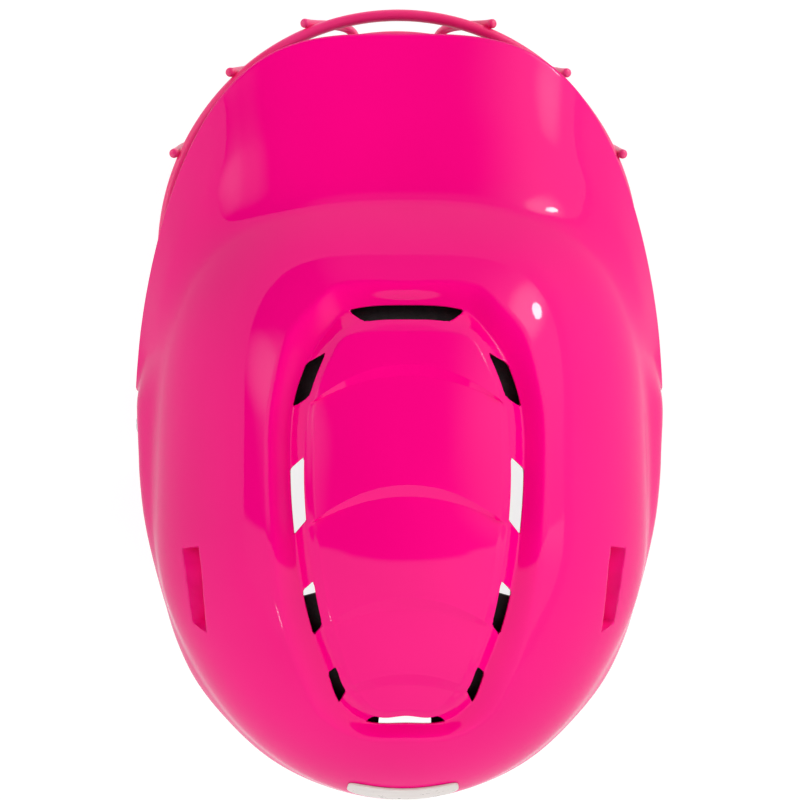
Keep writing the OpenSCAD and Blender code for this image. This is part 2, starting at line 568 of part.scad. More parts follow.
// Wires of the face guard: a tube swept along points, with a flat cut at each end
function path_dir(p, i) = unit(p[min(len(p) - 1, i + 1)] - p[max(0, i - 1)]);
function ring_at(p, i, r) =
    let (d = path_dir(p, i), s = unit(cross(d, [0, 0, 1])), u = cross(s, d))
    [for (k = [0:wire_sides - 1]) let (t = 360 * k / wire_sides) p[i] + r * (s * cos(t) + u * sin(t))];
function wire_r(d) = d / 2 / sqrt(cos(180 / wire_sides));
module wire(path, d) {
    n = wire_sides;
    r = wire_r(d);
    rings = [for (i = [0:len(path) - 1]) each ring_at(path, i, r)];
    last = (len(path) - 1) * n;
    sides = split([for (i = [0:len(path) - 2], k = [0:n - 1]) let (j = (k + 1) % n)
        [i * n + k, i * n + j, (i + 1) * n + j, (i + 1) * n + k]]);
    ends = [for (k = [1:n - 2]) each [[0, k + 1, k], [last, last + k, last + k + 1]]];
    polyhedron(rings, concat(sides, ends));
}

// The bars' curves: an ellipse about a centre, from -90 to 90 degrees, as [half width, reach, centre, z]
eye_bar_center = -63.2;
mouth_bar_center = -60;
chin_bar_center = -50;
eye_curve = [eye_bar_half_w, eye_bar_reach, eye_bar_center, eye_bar_z];
mouth_curve = [mouth_bar_half_w, mouth_bar_reach, mouth_bar_center, mouth_bar_z];
chin_curve = [chin_bar_half_w, chin_bar_reach, chin_bar_center, wire_r(bar_d)];
function curve_point(c, a) = [c[0] * sin(a), c[2] - (c[1] + c[2]) * cos(a), c[3]];
function curve_normal(c, a) = unit([(c[1] + c[2]) * sin(a), -c[0] * cos(a), 0]);

// Side bars: straight through the two clips of a side
side_foot = [seat_x(upper_clip_z) - clip_reach * sin(side_bar_lean) * sin(seat_tilt),
    upper_clip_y - clip_reach * cos(side_bar_lean),
    upper_clip_z - clip_reach * sin(side_bar_lean) * cos(seat_tilt)];
side_dir = [cos(side_bar_lean) * sin(seat_tilt), -sin(side_bar_lean), cos(side_bar_lean) * cos(seat_tilt)];
function side_bar_at(z) = side_foot + side_dir * ((z - side_foot[2]) / side_dir[2]);
brow_end_z = eye_bar_z + bar_d + 0.8;
side_bar_top_z = brow_end_z + side_bar_over;
side_bar_low_z = chin_end_z - side_bar_over;
module side_bar() {
    low = (side_bar_low_z - side_foot[2]) / side_dir[2];
    high = (side_bar_top_z - side_foot[2]) / side_dir[2];
    color(CAGE_PINK) translate(side_foot) rotate([0, seat_tilt, 0]) rotate([side_bar_lean, 0, 0])
        translate([0, 0, low]) cylinder(d = bar_d, h = high - low, $fn = true_fn);
}
module side_bar_left() { side_bar(); }
module side_bar_right() { mirror([1, 0, 0]) side_bar(); }

// A bar follows its curve and runs on to the side bars
function run_on(c, z_end) =
    let (p = curve_point(c, 90), q = side_bar_at(z_end))
    [for (t = [0.25:0.25:1])
        [mix(p[0], q[0], t * t * (2 - t)), mix(p[1], q[1], t), mix(p[2], q[2], ease(t))]];
function flip_x(points) = [for (i = [len(points) - 1:-1:0])
    [-points[i][0], points[i][1], points[i][2]]];
function bar_path(c, z_end) =
    concat(flip_x(run_on(c, z_end)), [for (a = [-90:9:90]) curve_point(c, a)], run_on(c, z_end));
module eye_bar() { color(CAGE_PINK) wire(bar_path(eye_curve, eye_bar_z), bar_d); }
module mouth_bar() { color(CAGE_PINK) wire(bar_path(mouth_curve, mouth_bar_z), bar_d); }
module chin_bar() { color(CAGE_PINK) wire(bar_path(chin_curve, chin_end_z), bar_d); }
function brow_point(a) =
    let (end = side_bar_at(brow_end_z))
    [end[0] * sin(a), end[1] - (brow_bar_reach + end[1]) * cos(a), mix(end[2], brow_bar_z, cos(a))];
module brow_bar() { color(CAGE_PINK) wire([for (a = [-90:9:90]) brow_point(a)], bar_d); }

// Uprights: welded to the outer side of the eye, mouth and chin bars
eye_angles = [nose_angle, cheek_angle, temple_angle];
mouth_angles = eye_angles - [11, 7, 6];
chin_angles = eye_angles - [13, 13, 16];
function weld_point(c, a) = curve_point(c, a) + curve_normal(c, a) * (bar_d / 2 + upright_d / 2 - weld_sink);
upright_over = 1;
function upright_path(k) =
    let (e = weld_point(eye_curve, eye_angles[k]), m = weld_point(mouth_curve, mouth_angles[k]),
        c = weld_point(chin_curve, chin_angles[k]), tm = (c - e) / 2)
    concat([e + unit(e - m) * upright_tip],
        [for (t = [0:0.25:1]) hermite(e, m, m - e, tm, t)],
        [for (t = [0.25:0.25:1]) hermite(m, c, tm, c - m, t)],
        [c + unit(c - m) * upright_over]);
module upright(k) { color(CAGE_PINK) wire(upright_path(k), upright_d); }
module nose_upright_left() { upright(0); }
module nose_upright_right() { mirror([1, 0, 0]) upright(0); }
module cheek_upright_left() { upright(1); }
module cheek_upright_right() { mirror([1, 0, 0]) upright(1); }
module temple_upright_left() { upright(2); }
module temple_upright_right() { mirror([1, 0, 0]) upright(2); }

// Guard clips, screws and T-nuts, in the frame of a seat: X out of the flap, Z along the side bar
clip_gap = 0.1;
hook_wall = 2.2;
screw_hole_gap = 0.35;
head_gap = 0.05;
nut_bore_r = screw_d / 2 + screw_running;
nut_barrel_r = nut_bore_r + 1.1;
nut_gap = 0.2;
nut_barrel_short = 0.4;
module clip() {
    color(CLIP) difference() {
        union() {
            x_cylinder(clip_w / 2, 0, clip_t);
            translate([0, -clip_reach, -clip_w / 2]) cube([clip_t, clip_reach, clip_w]);
            translate([0, -clip_reach, -clip_w / 2])
                cylinder(r = bar_d / 2 + clip_gap + hook_wall, h = clip_w, $fn = true_fn);
        }
        translate([0, -clip_reach, -clip_w])
            cylinder(r = bar_d / 2 + clip_gap, h = 2 * clip_w, $fn = true_fn);
        x_cylinder(screw_d / 2 + screw_hole_gap, -1, clip_t + 1);
    }
}
module clip_at(side, z) { one_side(side) at_seat(clip_y(z), z) clip(); }
module clip_upper_left() { clip_at(1, upper_clip_z); }
module clip_upper_right() { clip_at(-1, upper_clip_z); }
module clip_lower_left() { clip_at(1, lower_clip_z); }
module clip_lower_right() { clip_at(-1, lower_clip_z); }

slot_w = 1.2;
slot_l = 5.6;
slot_depth = 1.2;
module screw() {
    base = clip_t + head_gap;
    tip = -seat_wall - nut_flange_t - 0.5;
    color(STEEL) difference() {
        rotate([0, 90, 0]) rotate_extrude($fn = true_fn) polygon([
            [0, tip], [screw_d / 2, tip], [screw_d / 2, base], [screw_head_d / 2, base],
            [screw_head_d / 2, base + 0.3 * screw_head_h], [screw_head_d * 0.42, base + 0.7 * screw_head_h],
            [screw_head_d * 0.24, base + screw_head_h], [0, base + screw_head_h]]);
        for (turn = [0, 90]) rotate([turn, 0, 0])
            translate([base + screw_head_h - slot_depth, -slot_l / 2, -slot_w / 2])
                cube([slot_depth + 1, slot_l, slot_w]);
    }
}
module screw_at(side, z) { one_side(side) at_seat(clip_y(z), z) screw(); }
module screw_upper_left() { screw_at(1, upper_clip_z); }
module screw_upper_right() { screw_at(-1, upper_clip_z); }
module screw_lower_left() { screw_at(1, lower_clip_z); }
module screw_lower_right() { screw_at(-1, lower_clip_z); }

module t_nut() {
    difference() {
        union() {
            x_cylinder(nut_flange_d / 2, -seat_wall - nut_flange_t, -seat_wall);
            x_cylinder(nut_barrel_r, -seat_wall - nut_flange_t, -nut_barrel_short);
        }
        x_cylinder(nut_bore_r, -seat_wall - nut_flange_t - 1, 1);
    }
}
module t_nuts() { color(STEEL) for (side = [1, -1]) at_clips(side) t_nut(); }

// Strap studs: riveted through the ear flap, with a cap inside
stud_shank_r = 1.6;
stud_base_r = 5;
stud_base_t = 0.8;
module strap_stud() {
    cap = stud_base_r - 0.5;
    back = -stud_wall - stud_base_t;
    top = stud_base_t + stud_h;
    head = stud_d / 2;
    neck = head - 0.8;
    rotate([0, 90, 0]) rotate_extrude($fn = true_fn) polygon([
        [0, back], [cap, back], [cap, -stud_wall], [stud_shank_r, -stud_wall], [stud_shank_r, 0],
        [stud_base_r, 0], [stud_base_r, stud_base_t], [neck, stud_base_t], [neck, stud_base_t + 0.6],
        [head, stud_base_t + 1], [head, top - 0.4], [head - 0.6, top], [0, top]]);
}
module strap_studs() { color(STEEL) for (side = [1, -1]) at_studs(side) strap_stud(); }

shell();
front_pad();
crown_pad();
side_pad_left();
side_pad_right();
rear_pad_left();
rear_pad_right();
ear_pad_left();
ear_pad_right();
rear_badge();
brow_bar();
eye_bar();
mouth_bar();
chin_bar();
side_bar_left();
side_bar_right();
nose_upright_left();
nose_upright_right();
cheek_upright_left();
cheek_upright_right();
temple_upright_left();
temple_upright_right();
clip_upper_left();
clip_upper_right();
clip_lower_left();
clip_lower_right();
screw_upper_left();
screw_upper_right();
screw_lower_left();
screw_lower_right();
t_nuts();
strap_studs();
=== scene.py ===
# %% [markdown]
# # A pink softball batting helmet with a wire face guard
# The camera looks straight down on the helmet: brim and guard point up in the picture, the
# rear down. We work in millimetres and turn them into Blender's metres where a mesh is made.

# %% Load the fixed frame
import math
import bmesh
import bpy
import numpy as np
from mathutils import Matrix, Vector


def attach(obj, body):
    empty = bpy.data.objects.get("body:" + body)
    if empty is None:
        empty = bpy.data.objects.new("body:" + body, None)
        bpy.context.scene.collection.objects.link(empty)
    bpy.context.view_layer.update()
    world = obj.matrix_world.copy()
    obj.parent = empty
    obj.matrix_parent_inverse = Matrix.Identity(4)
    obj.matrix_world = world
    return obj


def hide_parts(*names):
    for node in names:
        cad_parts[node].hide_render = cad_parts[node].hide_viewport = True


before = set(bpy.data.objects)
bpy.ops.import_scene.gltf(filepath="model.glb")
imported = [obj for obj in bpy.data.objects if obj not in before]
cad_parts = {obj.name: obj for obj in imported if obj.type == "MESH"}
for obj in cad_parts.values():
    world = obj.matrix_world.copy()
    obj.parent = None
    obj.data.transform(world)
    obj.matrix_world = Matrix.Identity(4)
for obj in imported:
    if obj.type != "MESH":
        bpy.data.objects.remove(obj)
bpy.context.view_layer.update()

# %% [markdown]
# ## The camera
# The photograph was taken from about two metres with a long lens, nearly straight down. The
# high crown sits a little to the right of the outline's middle, so the lens was about 1.5
# degrees off the vertical. A plain look-at matrix gives that view: up in the picture is -Y.

# %% Camera over the crown
EYE, TARGET = Vector((0.0526, -0.0013, 2.0845)), Vector((0.0, -0.0013, 0.085))
LENS_MM = 214.3


def look_at(eye, target, up):
    """Matrix whose -Z axis runs from eye to target and whose Y axis lies nearest to up."""
    z = (eye - target).normalized()
    x = up.cross(z).normalized()
    y = z.cross(x)
    return Matrix([(*row, at) for row, at in zip(zip(x, y, z), eye)] + [(0, 0, 0, 1)])


camera_data = bpy.data.cameras.new("Camera")
camera_data.lens, camera_data.sensor_width = LENS_MM, 36.0
camera_data.clip_end = 20.0
camera = bpy.data.objects.new("Camera", camera_data)
bpy.context.scene.collection.objects.link(camera)
camera.matrix_world = look_at(EYE, TARGET, Vector((0, -1, 0)))
bpy.context.scene.camera = camera
bpy.context.scene.view_settings.view_transform = "Standard"
print("camera at", [round(c, 3) for c in EYE])

# %% [markdown]
# ## Small tools
# Every shape here is a formula on arrays: numpy works on all points of a grid at once, and
# one call hands the points and faces to a mesh. Faces are given as blocks of equal size.

# %% Array helpers
MM = 0.001


def ease(t):
    """Smooth step: 0 below 0, 1 above 1, 3t^2 - 2t^3 between."""
    c = np.clip(t, 0, 1)
    return c * c * (3 - 2 * c)


def mix(a, b, t):
    """Straight blend from a to b: a (1 - t) + b t."""
    return a * (1 - t) + b * t


def unit(v):
    """Each vector divided by its length."""
    return v / np.maximum(np.linalg.norm(v, axis=-1, keepdims=True), 1e-9)


def xyz(x, y, z):
    """Stacks three arrays into points."""
    return np.stack(np.broadcast_arrays(x, y, z), axis=-1)


def sin(a):
    """Sine of degrees."""
    return np.sin(np.radians(a))


def cos(a):
    """Cosine of degrees."""
    return np.cos(np.radians(a))


def left_half(a):
    """The place on the wearer's left that mirrors a: a up to 180, 360 - a beyond."""
    return np.where(a > 180, 360 - a, a)


# %% Meshes from arrays
def make_piece(name, points, blocks, smooth=True):
    """A mesh object from points in millimetres and blocks of faces, each an array (n, corners)."""
    me = bpy.data.meshes.new(name)
    me.vertices.add(len(points))
    me.vertices.foreach_set("co", (np.asarray(points, float) * MM).ravel())
    corners = np.concatenate([b.ravel() for b in blocks]).astype(np.int32)
    sizes = np.concatenate([np.full(len(b), b.shape[1], np.int32) for b in blocks])
    me.loops.add(len(corners))
    me.loops.foreach_set("vertex_index", corners)
    me.polygons.add(len(sizes))
    me.polygons.foreach_set("loop_start", np.concatenate([[0], np.cumsum(sizes)[:-1]]).astype(np.int32))
    me.polygons.foreach_set("use_smooth", np.full(len(sizes), smooth))
    me.update(calc_edges=True)
    me.validate()
    obj = bpy.data.objects.new(name, me)
    bpy.context.scene.collection.objects.link(obj)
    print(name, len(me.vertices), "points", len(me.polygons), "faces")
    return obj


def grid_quads(rows, cols, closed=False):
    """Faces of a grid numbered row by row; closed joins the last column to the first."""
    r = np.arange(rows - 1)[:, None]
    c = np.arange(cols if closed else cols - 1)[None, :]
    d = (c + 1) % cols
    corners = r * cols + c, (r + 1) * cols + c, (r + 1) * cols + d, r * cols + d
    return np.stack(np.broadcast_arrays(*corners), -1).reshape(-1, 4)


def merge_doubles(obj, distance=1e-6):
    """Merges points that coincide and turns all faces outwards."""
    bm = bmesh.new()
    bm.from_mesh(obj.data)
    bmesh.ops.remove_doubles(bm, verts=bm.verts, dist=distance)
    bmesh.ops.recalc_face_normals(bm, faces=bm.faces)
    bm.to_mesh(obj.data)
    bm.free()


def sharpen(obj, degrees):
    """Shades edges sharp where the faces turn by more than an angle."""
    obj.data.set_sharp_from_angle(angle=math.radians(degrees))


def tie(obj, node=None):
    """Hides the CAD node that a piece stands for, if one is given, and lets the piece ride on the
    helmet.
    """
    if node:
        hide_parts(node)
    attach(obj, "helmet")


# %% [markdown]
# ## The shell's surface
# The real shell is one injection-moulded piece. We describe its outside as a function of a
# place `a`, from 0 at the front round to 360 degrees, and a level `v`: 0 at the crown, 1 at
# the edge of the crown panel, 2 and 3 at the vents' inner and outer edges, 4 at the recess's
# lip, 5 at the end of the dome, 6 at the start of the brim, 7 at the widest line and 8 at the
# lower edge. Curves through knots carry the outlines, so each line of the helmet has a name.

# %% Curves through knots
def hermite(p, q, tp, tq, t):
    """Cubic from p to q with the end slopes tp and tq."""
    return (p * (2 * t**3 - 3 * t**2 + 1) + q * (3 * t**2 - 2 * t**3)
            + tp * (t**3 - 2 * t**2 + t) + tq * (t**3 - t**2))


def knots(rows, side):
    """Knots [place, values] with a mirrored one past each end, its first value times side."""
    k = np.array(rows, float)

    def turned(row, about):
        return np.concatenate([[2 * about - row[0], side * row[1]], row[2:]])

    return np.vstack([turned(k[1], k[0, 0]), k, turned(k[-2], k[-1, 0])])


def along(k, a):
    """Cubic through the knots at each place a, with slopes taken from each knot's two neighbours."""
    i = np.clip(np.searchsorted(k[:, 0], a, side="left") - 1, 1, len(k) - 3)
    h = (k[i + 1, 0] - k[i, 0])[..., None]

    def slope(j):
        return (k[j + 1] - k[j - 1]) / (k[j + 1, 0] - k[j - 1, 0])[..., None]

    t = (a[..., None] - k[i, 0][..., None]) / h
    return hermite(k[i], k[i + 1], slope(i) * h, slope(i + 1) * h, t)[..., 1:]


# %% The dome and the four loops of the crown recess
CROWN_Y, DOME_BASE, DOME_RISE = 41.0, 97.0, 115.0
DOME_SIDE, DOME_FRONT, DOME_REAR = 103.0, 138.0, 124.5
FRONT_POWER, REAR_POWER = 3.1, 2.0
STATIONS = [0, 16.7, 24, 34.9, 49.1, 72, 103.7, 129, 144.2, 154.9, 161.4, 169.5, 180]
PANEL_DROP, VENT_DROP, GROOVE_DROP = 1.5, 3.2, 7.0


def loop(points):
    """Knots of one loop: x and y measured from the crown, one at each station."""
    return knots([[s, x, CROWN_Y + y] for s, (x, y) in zip(STATIONS, points)], -1)


LIP = loop([(0, -89.2), (27, -88.4), (37.2, -80.5), (47.5, -68), (54.2, -40.5), (55, -15),
            (53.6, 13), (51, 36), (46.6, 55), (40.5, 72), (34.5, 84), (20, 93.2), (0, 94.5)])
GROOVE = loop([(0, -80.1), (23.4, -77.9), (31.6, -70), (39.8, -57), (45.3, -39.3), (46.3, -15),
               (44.7, 10.9), (41.4, 33.5), (37, 51.2), (31.2, 66.7), (26.6, 78.8), (16.1, 86.6),
               (0, 87.4)])
INNER = loop([(0, -74.3), (17, -73.3), (26.8, -69.4), (32, -61.4), (38.6, -43.9), (40.9, -19.9),
              (40.2, 5.3), (37.2, 29.4), (33.6, 47.1), (28.2, 63.8), (24.1, 73.9), (12.8, 84.2),
              (0, 84.2)])
PANEL = loop([(0, -69.9), (17, -69.3), (24.7, -67), (29.4, -60.5), (36.2, -44.5), (37.4, -21),
              (36.6, 5), (33.9, 28), (30.2, 45), (24.7, 62), (20.9, 71.5), (12.2, 81.3), (0, 81.8)])


def dome_radius(a):
    """Superellipse about the crown, of a higher power, and so squarer, in front than at the rear."""
    n = mix(FRONT_POWER, REAR_POWER, ease((a - 50) / 80))
    reach = np.where(a < 90, DOME_FRONT, DOME_REAR)
    return ((np.abs(sin(a)) / DOME_SIDE) ** n + (np.abs(cos(a)) / reach) ** n) ** (-1 / n)


def azimuth(x, y):
    """Angle about the crown, from the front."""
    return np.degrees(np.arctan2(np.abs(x), CROWN_Y - y))


def dome_share(x, y):
    """Distance from the crown as a share of the dome's radius there."""
    return np.hypot(x, y - CROWN_Y) / dome_radius(azimuth(x, y))


def on_dome(p, drop):
    """Plan points raised to the dome, less a drop: z is an ellipse of the share."""
    x, y = p[..., 0], p[..., 1]
    z = DOME_BASE + DOME_RISE * np.sqrt(np.maximum(1e-4, 1 - dome_share(x, y) ** 2))
    return xyz(x, y, z - drop)


def dome_point(a, tilt):
    """Point of the dome at azimuth a, tilted from the vertical."""
    r = dome_radius(a) * sin(tilt)
    return xyz(r * sin(a), CROWN_Y - r * cos(a), DOME_BASE + DOME_RISE * cos(tilt))


# %% The crease, the brim, the ear flaps and the nape
CREASE = knots([[0, .9], [20, .9], [31, .925], [43, .958], [50, .965], [65, .983], [90, .99],
                [180, .99]], 1)
FILLET_TILT = 3.0
WING = 62.0
WIDE, BRIM_Y, BRIM_REACH, CORNER_Z, PEAK_Z = 111.5, -6.4, 146.6, 76.0, 123.0


def crease_tilt(a):
    """Tilt at which the dome meets the brim."""
    return np.degrees(np.arcsin(along(CREASE, a)[..., 0]))


def brim_edge(a):
    """Superellipse of power 3.05 at the front to 1.7 at the corners; it rises to the peak in front."""
    share = np.clip(a, 0, WING) / WING
    e = 2 / mix(3.05, 1.7, share)
    s, c = sin(90 * share) ** e, np.maximum(0, cos(90 * share)) ** e
    return xyz(WIDE * s, BRIM_Y - BRIM_REACH * c, mix(CORNER_Z, PEAK_Z, c))


# %% Knots of the lower edge and of the widest line
LOW, NAPE_R, NAPE_Z, SIDE_R, REAR_R = 100.4, 110.3, 41.0, 108.0, 124.3
# Each row: place, x, y, z.
EDGE = np.array([
    [58, *brim_edge(np.array(58.0))], [WING, *brim_edge(np.array(WING))],
    [65, mix(LOW, WIDE, .8), -4.5, .87 * CORNER_Z], [69, mix(LOW, WIDE, .53), 1, .59 * CORNER_Z],
    [73, mix(LOW, WIDE, .33), 7, .32 * CORNER_Z], [78, mix(LOW, WIDE, .14), 14.5, .1 * CORNER_Z],
    [84, LOW + .4, 25, -.6], [91, LOW, 39, -.6], [100, LOW - .4, 57, -.6], [107, LOW - .8, 71, .5],
    [113, LOW - 1, 82, .2 * NAPE_Z], [119, LOW - 2.9, 92, .52 * NAPE_Z],
    [126, NAPE_R * .822, CROWN_Y + NAPE_R * .548, .83 * NAPE_Z],
    [136, NAPE_R * .72, CROWN_Y + NAPE_R * .712, NAPE_Z],
    [150, NAPE_R * .507, CROWN_Y + NAPE_R * .874, NAPE_Z + 3],
    [165, NAPE_R * .263, CROWN_Y + NAPE_R * .968, NAPE_Z + 1],
    [180, 0, CROWN_Y + NAPE_R, NAPE_Z], [195, -NAPE_R * .263, CROWN_Y + NAPE_R * .968, NAPE_Z + 1]])
# Each row: place, azimuth about the crown, distance from it in plan, z.
BULGE = np.array([
    [58, 62, SIDE_R * 1.123, 87], [62, 66, SIDE_R * 1.108, 85.5], [66, 69, SIDE_R * 1.094, 85],
    [70, 72.5, SIDE_R * 1.07, 86], [75, 76.5, SIDE_R * 1.045, 86], [80, 81, SIDE_R * 1.025, 86],
    [90, 90, SIDE_R, 86], [103, 103, SIDE_R * .982, 86], [113, 113, SIDE_R * .99, 86],
    [122, 122, SIDE_R * 1.021, 86], [131, 131, mix(SIDE_R, REAR_R, .36), 86],
    [142, 142, mix(SIDE_R, REAR_R, .55), 86], [154, 154, mix(SIDE_R, REAR_R, .79), 86],
    [167, 167, mix(SIDE_R, REAR_R, .93), 86], [180, 180, REAR_R, 86],
    [193, 193, mix(SIDE_R, REAR_R, .93), 86]])


def edge_point(a):
    """Lower edge: the brim's formula up to the corner, then the knots of flap and nape."""
    return np.where((a <= WING)[..., None], brim_edge(a), along(EDGE, np.maximum(a, WING)))


def bulge_point(a):
    """Widest line: the brim's middle in front, blended into the knots over the ear and at the rear."""
    middle = mix(dome_point(a, crease_tilt(a)), edge_point(a), 0.56) + np.array([0, 0, 1.6])
    k = along(BULGE, np.maximum(a, 58.0))
    side = xyz(k[..., 1] * sin(k[..., 0]), CROWN_Y - k[..., 1] * cos(k[..., 0]), k[..., 2])
    return mix(middle, side, ease((a - 50) / 12)[..., None])


def brim_start(a):
    """End of the hollow between dome and brim: 18 mm off the crease in front, 6 at the sides."""
    d = dome_point(a, crease_tilt(a))
    return d + unit(bulge_point(a) - d) * mix(18.0, 6.0, ease((a - 15) / 55))[..., None]


def tuck(a):
    """Inward slope of the ear flaps, none at the brim and the nape, as a vector."""
    amount = 0.15 * ease((a - 54) / 12) * (1 - ease((a - 116) / 16))
    return xyz(-sin(a), cos(a), 0 * a) * amount[..., None]


# %% One band of the surface at a time
def recess(a, t, outer, inner, d0, d1):
    """Band between two loops, dropping from d0 to d1 under the dome."""
    p = mix(along(outer, a), along(inner, a), t[..., None])
    return on_dome(p, mix(d0, d1, t))


def crown_band(a, t):
    """Straight rays from the crown to the panel's edge."""
    p = mix(np.array([0, CROWN_Y]), along(PANEL, a), t[..., None])
    return on_dome(p, PANEL_DROP + 0 * t)


def lip_band(a, t):
    """From the groove back up to the dome: a nearly straight chamfer, softened at both ends."""
    p = mix(along(GROOVE, a), along(LIP, a), t[..., None])
    return on_dome(p, GROOVE_DROP * (1 - mix(t, ease(t), 0.25)))


def dome_band(a, t):
    """From the lip down the dome to just above the crease."""
    lip = along(LIP, a)
    x, y = lip[..., 0], lip[..., 1]
    start = np.degrees(np.arcsin(dome_share(x, y)))
    return dome_point(mix(azimuth(x, y), a, t), mix(start, crease_tilt(a) - FILLET_TILT, t))


def fillet_band(a, t):
    """Cubic that leaves along the dome and arrives along the brim."""
    tilt = crease_tilt(a) - FILLET_TILT
    p, q = dome_point(a, tilt), brim_start(a)
    length = np.linalg.norm(q - p, axis=-1, keepdims=True)
    leave, arrive = unit(dome_point(a, tilt + 1) - p) * length, unit(bulge_point(a) - q) * length
    return hermite(p, q, leave, arrive, t[..., None])


def skirt_band(a, t):
    """Brim from its start to its middle, and the flank down to the widest line."""
    q, b, e = brim_start(a), bulge_point(a), edge_point(a)
    length = np.linalg.norm(b - q, axis=-1, keepdims=True)
    return hermite(q, b, unit(b - q) * length, (unit(e - q) + tuck(a)) * length, t[..., None])


def edge_band(a, t):
    """From the widest line down to the lower edge."""
    q, b, e = brim_start(a), bulge_point(a), edge_point(a)
    length = np.linalg.norm(e - b, axis=-1, keepdims=True)
    turn = tuck(a) * length
    return hermite(b, e, unit(e - q) * length + turn, (e - b) * 0.9 - turn * 0.85, t[..., None])


BANDS = [crown_band, lambda a, t: recess(a, t, PANEL, INNER, PANEL_DROP, VENT_DROP),
         lambda a, t: recess(a, t, INNER, GROOVE, VENT_DROP, GROOVE_DROP),
         lip_band, dome_band, fillet_band, skirt_band, edge_band]


def plain_surface(a, v):
    """The moulded outside at places a (0 to 360) and levels v (0 to 8), band by band."""
    w = np.mod(a + 180, 360) - 180
    side, half = np.where(w < 0, -1.0, 1.0), np.abs(w)
    out = np.zeros(np.shape(a) + (3,))
    band = np.clip(np.ceil(v).astype(int) - 1, 0, 7)
    for i, shape in enumerate(BANDS):
        here = band == i
        if here.any():
            out[here] = shape(half[here], np.clip(v[here] - i, 0, 1))
    out[..., 0] *= side
    return out


probe = plain_surface(np.array([0.0, 90.0, 180.0]), np.array([8.0, 7.0, 8.0]))
print("brim front, widest point at the ear, nape:", np.round(probe, 1).tolist())

# %% [markdown]
# ## Softer corners
# A mould leaves no knife-sharp corner, and gloss shows every one. So we take each point of the
# outside as a weighted mean of the surface a little above and below it, which rounds the
# folds between the bands. At the lower edge the outside rolls over, as a moulded rim does.

# %% Rounded outside, normals and the rolled rim
WALL, ROLL_OUT, ROLL_IN = 3.3, 2.0, 1.0
SPREAD = np.array([[0, 0], [1, 0], [1.15, .07], [2, .09], [3, .05], [3.6, .04], [4, .022], [4.3, .012],
                   [4.8, .012], [5, .05], [6, .06], [6.5, .03], [7, .03], [7.6, .01], [7.9, 0], [8, 0]])


def rounded_surface(a, v):
    """Mean of the plain surface at v - 2d, v - d, v, v + d, v + 2d with weights 1 2 3 2 1."""
    d = np.interp(v, SPREAD[:, 0], SPREAD[:, 1]) / 2
    total = 0
    for k, weight in zip((-2, -1, 0, 1, 2), (1, 2, 3, 2, 1)):
        total = total + weight * plain_surface(a, np.clip(v + k * d, 0.0, 8))
    return total / 9


def outward(a, v, shape=rounded_surface):
    """Unit normal: cross product of the steps down and round the helmet."""
    low, high = np.maximum(v - 0.02, 0.05), np.clip(v + 0.02, 0.09, 8)
    down = shape(a, high) - shape(a, low)
    round_ = shape(a + 0.4, np.maximum(v, 0.05)) - shape(a - 0.4, np.maximum(v, 0.05))
    return unit(np.cross(down, round_))


def edge_distance(a, v):
    """Rough distance in millimetres from the lower edge, along the surface."""
    return np.linalg.norm(plain_surface(a, np.full_like(v, 8.0)) - plain_surface(a, v), axis=-1)


def roll(d, r):
    """How far a rounded edge of radius r falls away at distance d: r - sqrt(r^2 - (r - d)^2)."""
    reach = np.clip(r - d, 0, r)
    return r - np.sqrt(np.maximum(r * r - reach * reach, 0))


# %% [markdown]
# ## The columns and rows of the shell's net
# The vents and slots are holes and pockets in one net, so the net has a column at each of
# their ends. Between two such places the columns are spread evenly, always an even number of
# them: the inside of the shell uses every second one.

# %% Special places round the helmet
SLOT_FROM, SLOT_TO, SLOT_WALL, SLOT_SLANT = 101.2, 120.0, 0.35, 4.4
SLOT_DEEP, SHELF = 5.6, 0.75
SAG, PANEL_HALF_W = 14.4, 37.0
STEP_FRONT = np.array([-15.6, 32.0, 76.8, 107.5])
STEP_DROP, STEP_LONG, STEP_FLAT = 1.3, 4.8, 4.1
FOLD_SHARES = (-0.12, 0.12, 0.88, 1.12)


def panel_place(target, lens):
    """Place a where the panel's edge meets the arc y = target + (SAG - lens) (x / 37)^2, by halving."""
    low, high = np.full(len(target), 36.0), np.full(len(target), 168.0)
    for _ in range(40):
        mid = (low + high) / 2
        p = along(PANEL, mid)
        before = p[:, 1] - (SAG - lens) * (p[:, 0] / PANEL_HALF_W) ** 2 < target
        low, high = np.where(before, mid, low), np.where(before, high, mid)
    return low


step_places = np.concatenate([panel_place(STEP_FRONT, 0.0),
                              panel_place(STEP_FRONT + STEP_LONG, STEP_FLAT)])
folds = np.concatenate([mix(step_places[:4], step_places[4:], share) for share in FOLD_SHARES])
special = np.unique(np.round(np.concatenate([STATIONS, step_places, folds, [
    SLOT_FROM, SLOT_FROM + SLOT_WALL, SLOT_TO - SLOT_WALL, SLOT_TO]]), 4))
COLUMN_W = 1.9
half_places = [special[0]]
for start, stop in zip(special[:-1], special[1:]):
    regular = max(2, 2 * int(np.ceil((stop - start) / COLUMN_W)))
    parts = 32 if stop == 180 else 16 if stop <= 16.7 else 8 if stop <= 34.9 else regular
    half_places.extend(np.linspace(start, stop, parts + 1)[1:])
half_places = np.array(half_places)
PLACES = np.concatenate([half_places, 360 - half_places[-2:0:-1]])
print("step lines meet the panel's edge at", np.round(step_places, 1), "columns", len(PLACES))

# %% [markdown]
# The rows need the same care. Two rows follow the long edges of the slot moulded into each rear
# flank, and the columns lean there, because the slot's rear end is cut on a slant. The last rows
# crowd together at the lower edge, where the rim is rolled.

